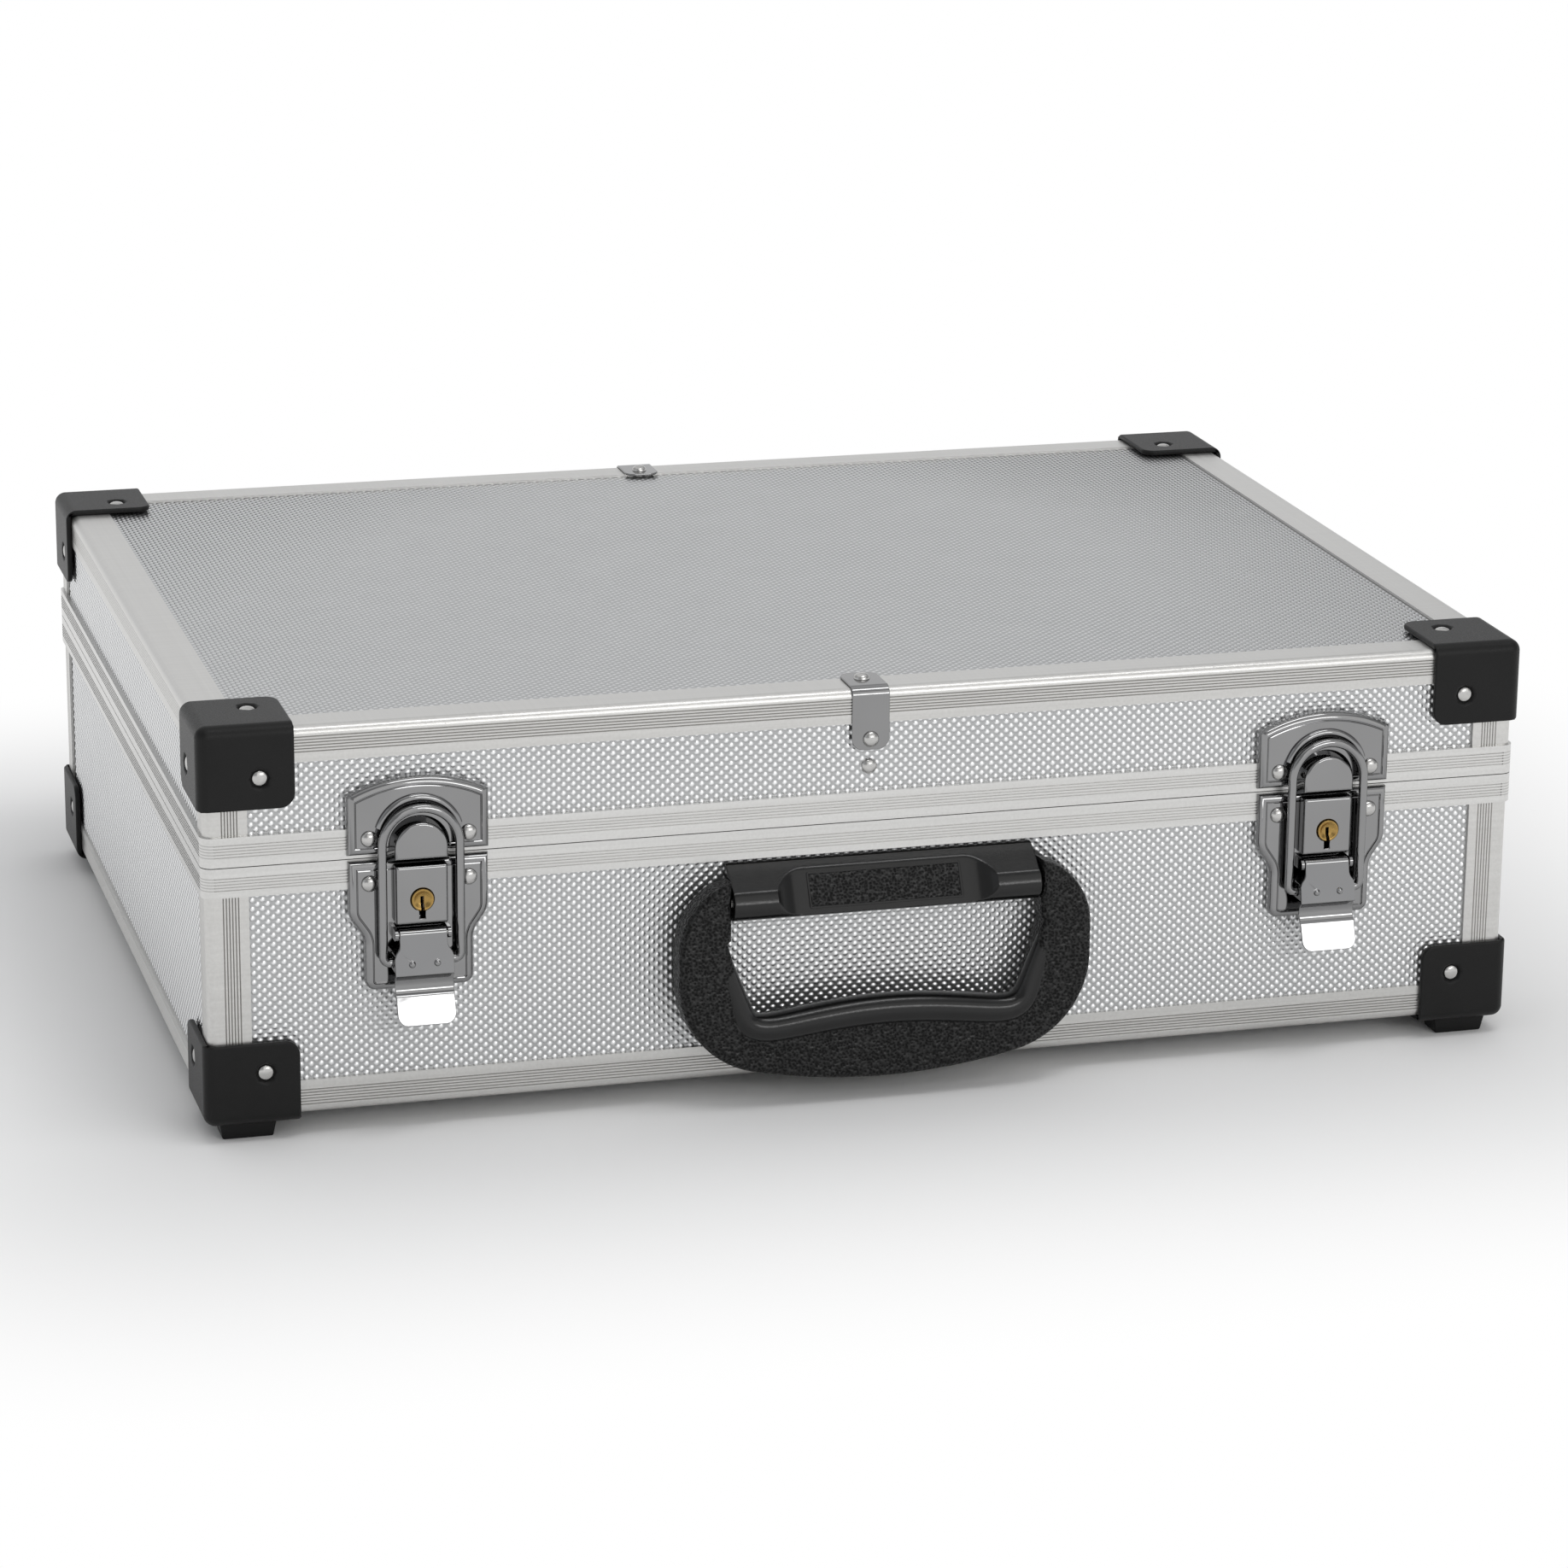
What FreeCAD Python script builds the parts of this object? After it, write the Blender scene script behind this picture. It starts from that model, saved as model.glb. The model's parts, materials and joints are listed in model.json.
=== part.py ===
import FreeCAD, Part
import os
from math import acos, atan2, cos, hypot, pi, sin, tan

# Case body, measured over the aluminium: base and lid meet at a level seam
case_width = 455.0
case_depth = 330.0
base_height = 87.2
lid_height = 45.6

# Boards: fibreboard with a dimpled skin, held in the channels of the profiles
board_thickness = 4.0
board_gap = 0.1

# Edge profiles and corner posts: extruded angles with grooved faces
profile_wall = 1.0
cover_leg = 14.4
side_leg = 11.8
inner_leg = 10.5
edge_radius = 3.0
groove_count = 6
groove_pitch = 1.0
groove_width = 0.45
groove_depth = 0.4
groove_margin = 3.4

# Rim frames at the seam: bent round the corners, base tongue in lid pocket
rim_height = 10.2
rim_proud = 1.0
rim_bend = 4.0
rim_web = 1.2
rim_groove_count = 5
rim_groove_margin = 2.6
seam_gap = 0.3
tongue_height = 2.4
tongue_gap = 0.5
tongue_clearance = 0.6

# Black moulded corners, the lower ones with a foot
corner_wall = 2.0
corner_reach_x = 30.0
corner_reach_y = 32.0
corner_reach_z = 26.4
corner_radius = 4.0
flap_radius = 5.0
foot_height = 6.0
foot_inset_x = 5.5
foot_inset_y = 4.5
foot_width = 19.0
foot_length = 12.0
foot_draft = 1.0

# Rivet heads: there are many, so each is a plain button with few sides and no shank
button_sides = 8
rivet_head_radius = 2.8
rivet_crown_radius = 1.5
rivet_dome = 1.5

# Corner rivets, measured from the aluminium corner, in dished seats sunk in the flaps
corner_rivet_x = 18.6
corner_rivet_y = 21.0
corner_rivet_z = 16.0
corner_rivet_sink = 1.2
corner_seat_gap = 0.3
corner_seat_draft = 0.6

# Clip straps over the middle of the front and back top edges
clip_width = 13.0
clip_thickness = 0.8
clip_top_reach = 18.0
clip_side_reach = 21.0
clip_end_radius = 4.0
clip_bend_gap = 0.2
clip_offset = -3.5
clip_top_rivet = 11.0
clip_side_rivet = 17.2
lone_rivet_drop = 27.0

# Latch plates: shallow pressed pans riveted to the rims, set in from the ends of the case
latch_inset = 70.0
latch_sheet = 1.0
latch_rise = 2.8
latch_rivet_offset = 16.5
pan_rim_gap = 0.2

# Keeper plate on the lid
keeper_width = 47.2
keeper_lift = 1.4
keeper_side_height = 20.0
keeper_arch_height = 5.8
keeper_rivet_lift = 7.3
boss_half_width = 8.6
boss_arch_lift = 4.1
boss_foot_lift = 0.6
boss_height = 4.7
boss_draft = 1.8
bead_radius = 13.6
bead_half_width = 1.4
bead_rise = 1.2
bead_arch_lift = 6.7
bead_start_angle = 17.0

# Latch base plate on the base
plate_width = 46.6
plate_drop = 0.6
plate_shoulder_height = 17.0
plate_bend_height = 11.5
plate_foot_width = 36.4
plate_height = 44.6
plate_foot_radius = 3.5
plate_rivet_drop = 7.9
ear_thickness = 1.0
ear_gap = 0.4
ear_half_height = 1.9

# Lock case and its brass cylinder
lock_half_width = 8.6
lock_top_drop = 1.6
lock_height = 20.0
lock_rise = 4.8
lock_wall = 1.0
lock_edge_chamfer = 0.7
key_drop = 13.1
cylinder_radius = 3.75
cylinder_gap = 0.08
cylinder_proud = 0.4
cylinder_lip = 0.6
cylinder_end_gap = 0.3
key_slot_width = 1.2
key_slot_depth = 3.0
key_notch_width = 2.0
key_notch_height = 2.8
cam_thickness = 1.0
cam_width = 3.6
cam_reach = 6.4

# Latch lever and its pin
lever_pin_drop = 25.0
lever_pin_out = 8.0
lever_pin_radius = 0.9
lever_pin_gap = 0.06
lever_roll_radius = 1.8
lever_sheet = 1.0
lever_top_half_width = 7.9
lever_half_width = 9.8
lever_flare_start = 2.6
lever_flare_height = 5.0
lever_knee_drop = 12.9
lever_knee_out = 2.4
lever_strip_height = 7.3
lever_strip_hollow = 1.9
lever_strip_out = 2.0
lever_tab_height = 9.0
lever_tab_out = 5.6
lever_tab_radius = 3.5
lever_bump_radius = 1.5
lever_bump_crown = 0.8
lever_bump_rise = 0.9
lever_bump_offset = 4.2
lever_bump_lift = 3.6
lever_cheek_height = 5.6
lever_cheek_lift = 0.6
lever_cheek_back = 3.0

# Bail: a wire loop hung on the lever's cheeks and hooked over the keeper's boss
bail_wire_sides = 8
bail_wire_radius = 1.6
bail_half_width = 12.9
bail_arch_lift = 4.7
bail_pivot_drop = 9.5
bail_plate_gap = 1.8
bail_bend_radius = 2.2
bail_end_gap = 0.5
bail_hole_gap = 0.08

# Handle bracket on the front of the base
bracket_width = 107.0
bracket_drop = 11.4
bracket_lip = 2.0
barrel_radius = 6.0
barrel_out = 9.2
barrel_drop = 11.6
bracket_flat_width = 62.0
bracket_flat_depth = 2.4
bracket_flat_radius = 8.0
pad_width = 54.0
pad_height = 9.0
pad_depth = 0.5
screw_offset = 40.0
screw_head_radius = 3.4
screw_crown_radius = 2.2
screw_head_height = 1.6

# Handle grip hung between the bracket's ends on two pins
grip_gap = 0.5
grip_swing_gap = 0.4
grip_half_width = 71.8
grip_back = 3.8
grip_thickness = 10.8
grip_edge_chamfer = 1.6
grip_shoulder_lift = 8.3
grip_side_drop = 15.6
grip_drop = 64.0
grip_belly_share = 0.64
grip_belly_sag = 5.2
opening_waist_drop = 11.8
opening_waist_out = 1.1
opening_foot_in = 8.0
opening_foot_drop = 35.6
opening_crown = 5.0
bar_radius = 6.9
bar_out = 11.2
handle_pin_radius = 2.0
handle_pin_reach = 8.0
handle_pin_seat_gap = 0.02
handle_pin_run_gap = 0.06

# Back hinges: leaves riveted to the rims, three knuckles on one pin
hinge_inset = 70.0
leaf_width = 44.0
leaf_height = 9.8
leaf_thickness = 1.2
leaf_corner_radius = 2.0
knuckle_radius = 2.5
knuckle_lid_width = 17.0
knuckle_gap = 0.3
knuckle_rim_gap = 0.35
hinge_pin_radius = 1.4
hinge_pin_seat_gap = 0.02
hinge_pin_run_gap = 0.06
hinge_pin_overhang = 0.6
hinge_rivet_pitch = 15.0
hinge_rivet_lift = 6.2

# Overrun of every cutting body past the face it opens
overrun = 1.0

# Places worked out from the sizes above; the origin is under the middle of the overall box
board_inset = profile_wall + board_gap
channel = board_thickness + 2 * board_gap
core = profile_wall + channel + profile_wall
rim_wall = rim_proud + profile_wall
front_reach = bar_out + bar_radius - board_inset
back_reach = rim_proud + knuckle_rim_gap + 2 * knuckle_radius
mid_y = (front_reach - back_reach) / 2
half_width = case_width / 2
half_depth = case_depth / 2
front = mid_y - half_depth
back = mid_y + half_depth
bottom = foot_height + corner_wall
seam = bottom + base_height
top = seam + lid_height
lid_rim_low = seam + seam_gap / 2
lid_rim_high = seam + rim_height
base_rim_low = seam - rim_height
base_rim_high = seam - seam_gap / 2
lid_web_low = lid_rim_low + tongue_height + tongue_clearance
base_web_low = base_rim_high - rim_web
panel_front = front + board_inset
latch_offset = half_width - latch_inset
hinge_offset = half_width - hinge_inset
plate_face = rim_proud + latch_rise
lever_pin_z = seam - lever_pin_drop
bail_out = plate_face + bail_plate_gap + bail_wire_radius
bail_pivot_z = lever_pin_z - bail_pivot_drop
bail_arch_z = seam + bail_arch_lift
barrel_z = seam - bracket_drop - barrel_drop
hinge_axis_y = back + rim_proud + knuckle_rim_gap + knuckle_radius

Vec = FreeCAD.Vector
ORIGIN = Vec(0, 0, 0)
X = Vec(1, 0, 0)
Y = Vec(0, 1, 0)
Z = Vec(0, 0, 1)


def front_point(x, z):
    """A point of an outline seen from the front."""
    return Vec(x, 0, z)


def side_point(y, z):
    """A point of an outline seen from the side."""
    return Vec(0, y, z)


def outline(start, *steps):
    """Closed wire from start: a point draws a line, a (via, end) pair an arc; the last ends at start."""
    edges = []
    here = start
    for step in steps:
        if isinstance(step, tuple):
            via, there = step
            edges.append(Part.Arc(here, via, there).toShape())
        else:
            there = step
            edges.append(Part.LineSegment(here, there).toShape())
        here = there
    return Part.Wire(edges)


def prism(wires, shift, along):
    """Solid of the face inside the wires, moved by shift and run along a direction."""
    face = Part.Face(wires)
    face.translate(shift)
    solid = face.extrude(along)
    if solid.Volume < 0:
        solid.reverse()
    return solid


def block(low, high):
    """Box between two corners."""
    size = high - low
    return Part.makeBox(size.x, size.y, size.z, low)


def rod(radius, start, end):
    """Round rod between two points."""
    run = end - start
    return Part.makeCylinder(radius, run.Length, start, run)


def fused(first, *others):
    """One clean solid from several that touch or overlap."""
    return first.multiFuse(list(others)).removeSplitter()


def button(seat, outward, low_radius, high_radius, rise):
    """Flat-sided button on seat, from one radius to another along outward."""
    turns = [2 * pi * index / button_sides for index in range(button_sides)]
    low = [Vec(low_radius * cos(turn), low_radius * sin(turn), 0) for turn in turns]
    high = [Vec(high_radius * cos(turn), high_radius * sin(turn), rise) for turn in turns]
    sides = [(low[index - 1], low[index], high[index], high[index - 1]) for index in range(button_sides)]
    faces = [Part.Face(Part.makePolygon([*ring, ring[0]])) for ring in (low, high, *sides)]
    solid = Part.Solid(Part.Shell(faces))
    if solid.Volume < 0:
        solid.reverse()
    solid.Placement = FreeCAD.Placement(seat, FreeCAD.Rotation(Z, outward))
    return solid


def rivets(places):
    """Group of separate rivet heads, each with its seat and outward direction."""
    return Part.makeCompound([button(seat, outward, rivet_head_radius, rivet_crown_radius, rivet_dome)
                              for seat, outward in places])


def corner_rivets(z_edge, z_side):
    """Three rivets in each corner of the lid or the base."""
    seat_out = corner_wall - corner_rivet_sink
    places = []
    for x_side in (-1, 1):
        for y_side in (-1, 1):
            x = x_side * (half_width - corner_rivet_x)
            y = mid_y + y_side * (half_depth - corner_rivet_y)
            z = z_edge - z_side * corner_rivet_z
            places.append((Vec(x, mid_y + y_side * (half_depth + seat_out), z), Y * y_side))
            places.append((Vec(x_side * (half_width + seat_out), y, z), X * x_side))
            places.append((Vec(x, y, z_edge + z_side * seat_out), Z * z_side))
    return rivets(places)


def hardware_rivets(latch_z, hinge_z):
    """Two rivets in each latch plate and three in each hinge leaf of the lid or the base."""
    places = []
    for side in (-1, 1):
        for step in (-1, 1):
            x = side * latch_offset + step * latch_rivet_offset
            places.append((Vec(x, front - plate_face, latch_z), Y * -1))
        for step in (-1, 0, 1):
            x = side * hinge_offset + step * hinge_rivet_pitch
            places.append((Vec(x, back + rim_proud + leaf_thickness, hinge_z), Y))
    return rivets(places)


def clip_rivets():
    """Two rivets in each clip strap and a lone one in the board under the front strap."""
    places = [(Vec(clip_offset, panel_front, top - lone_rivet_drop), Y * -1)]
    for y_side in (-1, 1):
        y_face = mid_y + y_side * half_depth
        places.append((Vec(clip_offset, y_face - y_side * clip_top_rivet, top + clip_thickness), Z))
        places.append((Vec(clip_offset, y_face + y_side * clip_thickness, top - clip_side_rivet), Y * y_side))
    return rivets(places)


# Boards
def walls(part, low_z, high_z):
    """The four upright boards of the lid or the base, by name."""
    end_x = half_width - core - board_gap
    end_y = half_depth - core - board_gap
    skin_x = half_width - board_inset
    skin_y = half_depth - board_inset
    back_x = skin_x - board_thickness
    back_y = skin_y - board_thickness
    spans = {
        "front": ((-end_x, -skin_y), (end_x, -back_y)),
        "back": ((-end_x, back_y), (end_x, skin_y)),
        "left": ((-skin_x, -end_y), (-back_x, end_y)),
        "right": ((back_x, -end_y), (skin_x, end_y)),
    }
    panels = {}
    for side, ((x0, y0), (x1, y1)) in spans.items():
        low = Vec(x0, mid_y + y0, low_z)
        panels[part + "_" + side + "_panel"] = block(low, Vec(x1, mid_y + y1, high_z))
    return panels


def level_board(z_face, z_side):
    """The top or bottom board, its skin on the outside."""
    end_x = half_width - core - board_gap
    end_y = half_depth - core - board_gap
    skin = z_face - z_side * board_inset
    inside = skin - z_side * board_thickness
    return block(Vec(-end_x, mid_y - end_y, min(skin, inside)), Vec(end_x, mid_y + end_y, max(skin, inside)))


# Extruded angle profiles
def grooved_run(leg, grooved):
    """Places and depths of the V grooves in a leg's outer face, from its free edge to the rounding."""
    points = []
    if grooved:
        for index in range(groove_count):
            middle = leg - groove_margin - index * groove_pitch
            points += [(middle + groove_width / 2, 0), (middle, groove_depth), (middle - groove_width / 2, 0)]
    return points


def angle_profile(corner, a, b, a_leg, b_leg, a_grooved, run):
    """Angle with its rounded edge at corner, legs along a and b, channels for two boards, run along."""
    def at(along_a, along_b):
        return corner + a * along_a + b * along_b

    slot = profile_wall + channel
    round_mid = edge_radius * (1 - cos(pi / 4))
    steps = [at(u, v) for u, v in grooved_run(a_leg, a_grooved)]
    steps.append(at(edge_radius, 0))
    steps.append((at(round_mid, round_mid), at(0, edge_radius)))
    steps += [at(v, u) for u, v in reversed(grooved_run(b_leg, True))]
    steps += [at(0, b_leg), at(profile_wall, b_leg), at(profile_wall, core), at(slot, core),
              at(slot, inner_leg), at(core, inner_leg), at(core, core), at(inner_leg, core),
              at(inner_leg, slot), at(core, slot), at(core, profile_wall), at(a_leg, profile_wall),
              at(a_leg, 0)]
    return prism([outline(at(a_leg, 0), *steps)], ORIGIN, run)


def edge_profiles(part, z_edge, z_side):
    """The four profiles round the top of the lid or the bottom of the base, by name."""
    inward = Z * -z_side
    long_x = half_width - cover_leg
    long_y = half_depth - cover_leg
    profiles = {}
    for side, y_side in (("front", -1), ("back", 1)):
        corner = Vec(-long_x, mid_y + y_side * half_depth, z_edge)
        profiles[part + "_" + side + "_edge_profile"] = angle_profile(
            corner, Y * -y_side, inward, cover_leg, side_leg, False, X * (2 * long_x))
    for side, x_side in (("left", -1), ("right", 1)):
        corner = Vec(x_side * half_width, mid_y - long_y, z_edge)
        profiles[part + "_" + side + "_edge_profile"] = angle_profile(
            corner, X * -x_side, inward, cover_leg, side_leg, False, Y * (2 * long_y))
    return profiles


def corner_posts(low_z, high_z):
    """The four upright corner profiles of the lid or the base."""
    posts = []
    for x_side in (-1, 1):
        for y_side in (-1, 1):
            corner = Vec(x_side * half_width, mid_y + y_side * half_depth, low_z)
            posts.append(angle_profile(corner, X * -x_side, Y * -y_side, cover_leg, side_leg, True,
                                       Z * (high_z - low_z)))
    return Part.makeCompound(posts)


# Rim frames
def framed(depth, low_z, high_z):
    """Block that fills the case to a depth inside the rim's outer face, between two heights."""
    x = half_width + rim_proud - depth
    y = half_depth + rim_proud - depth
    return block(Vec(-x, mid_y - y, low_z), Vec(x, mid_y + y, high_z))


def frame_ring(outer_depth, inner_depth, low_z, high_z):
    """Square-cornered ring round the case between two depths and two heights."""
    return framed(outer_depth, low_z, high_z).cut(framed(inner_depth, low_z, high_z))


def rim_groove(middle):
    """Straight grooves at one height, along each side of the rim from bend to bend."""
    x = half_width + rim_proud
    y = half_depth + rim_proud
    low = middle - groove_width / 2
    high = middle + groove_width / 2
    cutters = []
    for side in (-1, 1):
        y_low, y_high = sorted((side * (y - groove_depth), side * (y + overrun)))
        cutters.append(block(Vec(rim_bend - x, mid_y + y_low, low), Vec(x - rim_bend, mid_y + y_high, high)))
        x_low, x_high = sorted((side * (x - groove_depth), side * (x + overrun)))
        cutters.append(block(Vec(x_low, mid_y - y + rim_bend, low), Vec(x_high, mid_y + y - rim_bend, high)))
    return cutters


def rim_frame(low_z, high_z, web_low, first_groove, groove_step):
    """Rim bent round the corners: a grooved outer wall, an inner wall and the web that joins them."""
    slot_end = rim_wall + channel
    outer = framed(0, low_z, high_z)
    uprights = [edge for edge in outer.Edges if edge.BoundBox.ZLength > rim_height / 2]
    outer = outer.makeFillet(rim_bend, uprights)
    outer = outer.cut(framed(rim_wall, low_z, high_z))
    cutters = []
    for index in range(rim_groove_count):
        cutters += rim_groove(first_groove + index * groove_step)
    outer = outer.cut(cutters)
    inner = frame_ring(slot_end, slot_end + profile_wall, low_z, high_z)
    web = frame_ring(rim_wall, slot_end, web_low, web_low + rim_web)
    return fused(outer, web, inner)


def lid_rim():
    return rim_frame(lid_rim_low, lid_rim_high, lid_web_low, lid_rim_high - rim_groove_margin, -groove_pitch)


def base_rim():
    rim = rim_frame(base_rim_low, base_rim_high, base_web_low, base_rim_low + rim_groove_margin, groove_pitch)
    tongue = frame_ring(rim_wall + tongue_gap, rim_wall + channel - tongue_gap,
                        base_rim_high, base_rim_high + tongue_height)
    return fused(rim, tongue)


# Black corners
def edges_at(shape, point):
    """The edges of a shape that end at a point."""
    return [edge for edge in shape.Edges
            if any(vertex.Point.isEqual(point, Part.Precision.confusion()) for vertex in edge.Vertexes)]


def corner_foot():
    """Tapered foot under the lower corner, drawn with the corner's outer point at the origin."""
    x1 = foot_inset_x + foot_width
    y1 = foot_inset_y + foot_length
    upper = Part.makePolygon([Vec(foot_inset_x, foot_inset_y, 0), Vec(x1, foot_inset_y, 0), Vec(x1, y1, 0),
                              Vec(foot_inset_x, y1, 0), Vec(foot_inset_x, foot_inset_y, 0)])
    x0 = foot_inset_x + foot_draft
    y0 = foot_inset_y + foot_draft
    x1 -= foot_draft
    y1 -= foot_draft
    lower = Part.makePolygon([Vec(x0, y0, -foot_height), Vec(x1, y0, -foot_height), Vec(x1, y1, -foot_height),
                              Vec(x0, y1, -foot_height), Vec(x0, y0, -foot_height)])
    return Part.makeLoft([upper, lower], True, True)


def corner_moulding(with_foot):
    """Three rounded flaps meeting at a rounded outer point at the origin, with dished rivet seats."""
    span = Vec(corner_wall + corner_reach_x, corner_wall + corner_reach_y, corner_wall + corner_reach_z)
    solid = block(ORIGIN, span)
    solid = solid.makeFillet(corner_radius, edges_at(solid, ORIGIN))
    solid = solid.makeFillet(flap_radius, edges_at(solid, span))
    shell = solid.cut(block(Vec(corner_wall, corner_wall, corner_wall), span))
    x = corner_wall + corner_rivet_x
    y = corner_wall + corner_rivet_y
    z = corner_wall + corner_rivet_z
    floor_radius = rivet_head_radius + corner_seat_gap
    mouth_radius = floor_radius + corner_seat_draft
    for flap, inward in ((Vec(x, 0, z), Y), (Vec(0, y, z), X), (Vec(x, y, 0), Z)):
        floor = flap + inward * corner_rivet_sink
        shell = shell.cut(button(floor, inward * -1, floor_radius, mouth_radius, corner_rivet_sink))
    if with_foot:
        shell = shell.fuse(corner_foot())
    return shell.removeSplitter()


def corners(part, z_edge, z_side):
    """The four corners of the lid or the base, by name."""
    moulding = corner_moulding(z_side < 0)
    placed = {}
    for y_name, y_side in (("front", -1), ("back", 1)):
        for x_name, x_side in (("left", -1), ("right", 1)):
            shape = moulding.copy()
            for side, normal in ((x_side, X), (y_side, Y), (z_side, Z)):
                if side > 0:
                    shape = shape.mirror(ORIGIN, normal)
            shape.translate(Vec(x_side * (half_width + corner_wall),
                                mid_y + y_side * (half_depth + corner_wall),
                                z_edge + z_side * corner_wall))
            placed[part + "_corner_" + y_name + "_" + x_name] = shape
    return placed


# Clip straps
def clip_strap(y_side):
    """Bent strap over a top edge, with rounded ends."""
    def at(out, drop):
        return Vec(clip_offset - clip_width / 2, mid_y + y_side * (half_depth + out), top - drop)

    inner = edge_radius - clip_bend_gap
    outer = inner + clip_thickness
    inner_mid = inner * (1 - cos(pi / 4))
    outer_mid = outer * (1 - cos(pi / 4)) - clip_thickness
    strip = outline(at(-clip_top_reach, 0),
                    at(-clip_top_reach, -clip_thickness),
                    at(clip_thickness - outer, -clip_thickness),
                    (at(-outer_mid, outer_mid), at(clip_thickness, outer - clip_thickness)),
                    at(clip_thickness, clip_side_reach),
                    at(0, clip_side_reach),
                    at(0, inner),
                    (at(-inner_mid, inner_mid), at(-inner, 0)),
                    at(-clip_top_reach, 0))
    strap = prism([strip], ORIGIN, X * clip_width)
    lengths = [edge for edge in strap.Edges
               if abs(edge.Length - clip_thickness) < board_gap
               and edge.BoundBox.XLength < board_gap]
    ends = [edge for edge in lengths if edge.BoundBox.ZMax < top - clip_side_reach + board_gap
            or abs(edge.CenterOfMass.y - mid_y) < half_depth - clip_top_reach + board_gap]
    return strap.makeFillet(clip_end_radius, ends)


# Latch plates
def pan(wire, rim_low, rim_high):
    """Pressed pan: a face sheet with a skirt all round that sits on the rim and reaches the board."""
    depth = plate_face + board_inset
    solid = prism([wire], Y * panel_front, Y * -depth)
    inside = Part.Face(wire).makeOffset2D(-latch_sheet)
    inside.translate(Y * (panel_front + overrun))
    solid = solid.cut(inside.extrude(Y * -(depth - latch_sheet + overrun)))
    reach = max(keeper_width, plate_width)
    rim = block(Vec(-reach, front - rim_proud, rim_low - pan_rim_gap),
                Vec(reach, panel_front + overrun, rim_high + pan_rim_gap))
    return solid.cut(rim)


def arch(half, arch_z, foot_z, y):
    """Upright outline with a half-round top, in the plane at y."""
    return outline(Vec(-half, y, foot_z), Vec(-half, y, arch_z),
                   (Vec(0, y, arch_z + half), Vec(half, y, arch_z)),
                   Vec(half, y, foot_z), Vec(-half, y, foot_z))


def keeper():
    """Arched keeper plate with a raised hook boss and a pressed bead above it."""
    half = keeper_width / 2
    low = seam + keeper_lift
    shoulder = low + keeper_side_height
    wire = outline(front_point(-half, low), front_point(-half, shoulder),
                   (front_point(0, shoulder + keeper_arch_height), front_point(half, shoulder)),
                   front_point(half, low), front_point(-half, low))
    plate = pan(wire, lid_rim_low, lid_rim_high)
    face = front - plate_face
    foot = seam + boss_foot_lift
    arch_z = seam + boss_arch_lift
    boss = Part.makeLoft([arch(boss_half_width + boss_draft, arch_z, foot, face + latch_sheet),
                          arch(boss_half_width, arch_z, foot, face - boss_height)], True, True)
    return fused(plate, boss, keeper_bead(face))


def keeper_bead(face):
    """Raised arch that runs over the keeper's boss, standing on the plate's face."""
    start = bead_start_angle * pi / 180
    outer = bead_radius + bead_half_width
    inner = bead_radius - bead_half_width
    middle_z = seam + bead_arch_lift

    def at(radius, angle):
        return front_point(radius * cos(angle), middle_z + radius * sin(angle))

    wire = outline(at(outer, start), (at(outer, pi / 2), at(outer, pi - start)), at(inner, pi - start),
                   (at(inner, pi / 2), at(inner, start)), at(outer, start))
    return prism([wire], Y * (face + latch_sheet / 2), Y * -(bead_rise + latch_sheet / 2))


def s_bend(start, end):
    """Two equal arcs from start to end, both ends upright, as outline steps."""
    run_x = (end.x - start.x) / 2
    run_z = (end.z - start.z) / 2
    half_turn = atan2(abs(run_x), abs(run_z))
    radius = abs(run_z) / sin(2 * half_turn)
    x_step = radius * (1 - cos(half_turn)) * (1 if run_x > 0 else -1)
    z_step = radius * sin(half_turn) * (1 if run_z > 0 else -1)
    middle = Vec(start.x + run_x, start.y, start.z + run_z)
    return [(Vec(start.x + x_step, start.y, start.z + z_step), middle),
            (Vec(end.x - x_step, end.y, end.z - z_step), end)]


def base_plate():
    """Latch base plate: wide at the top, drawn in by an S on each side, with ears for the lever pin."""
    half = plate_width / 2
    foot_half = plate_foot_width / 2
    high = seam - plate_drop
    shoulder = high - plate_shoulder_height
    waist = shoulder - plate_bend_height
    low = high - plate_height
    corner_mid = plate_foot_radius * (1 - cos(pi / 4))
    wire = outline(front_point(-half, high), front_point(half, high), front_point(half, shoulder),
                   *s_bend(front_point(half, shoulder), front_point(foot_half, waist)),
                   front_point(foot_half, low + plate_foot_radius),
                   (front_point(foot_half - corner_mid, low + corner_mid),
                    front_point(foot_half - plate_foot_radius, low)),
                   front_point(plate_foot_radius - foot_half, low),
                   (front_point(corner_mid - foot_half, low + corner_mid),
                    front_point(-foot_half, low + plate_foot_radius)),
                   front_point(-foot_half, waist),
                   *s_bend(front_point(-foot_half, waist), front_point(-half, shoulder)),
                   front_point(-half, high))
    plate = pan(wire, base_rim_low, base_rim_high)
    face = front - plate_face
    pin_y = front - lever_pin_out
    ears = []
    for side in (-1, 1):
        inner = side * (lever_top_half_width + ear_gap)
        shape = outline(side_point(face + latch_sheet / 2, lever_pin_z - ear_half_height),
                        side_point(pin_y, lever_pin_z - ear_half_height),
                        (side_point(pin_y - ear_half_height, lever_pin_z),
                         side_point(pin_y, lever_pin_z + ear_half_height)),
                        side_point(face + latch_sheet / 2, lever_pin_z + ear_half_height),
                        side_point(face + latch_sheet / 2, lever_pin_z - ear_half_height))
        ears.append(prism([shape], X * inner, X * (side * ear_thickness)))
    plate = fused(plate, *ears)
    return plate.cut(lever_rod(lever_pin_radius + lever_pin_gap / 2, overrun))


def lever_rod(radius, longer):
    """Rod on the lever's axis, as long as the ears are apart and a little longer."""
    reach = lever_top_half_width + ear_gap + ear_thickness + longer
    pin_y = front - lever_pin_out
    return rod(radius, Vec(-reach, pin_y, lever_pin_z), Vec(reach, pin_y, lever_pin_z))


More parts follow.
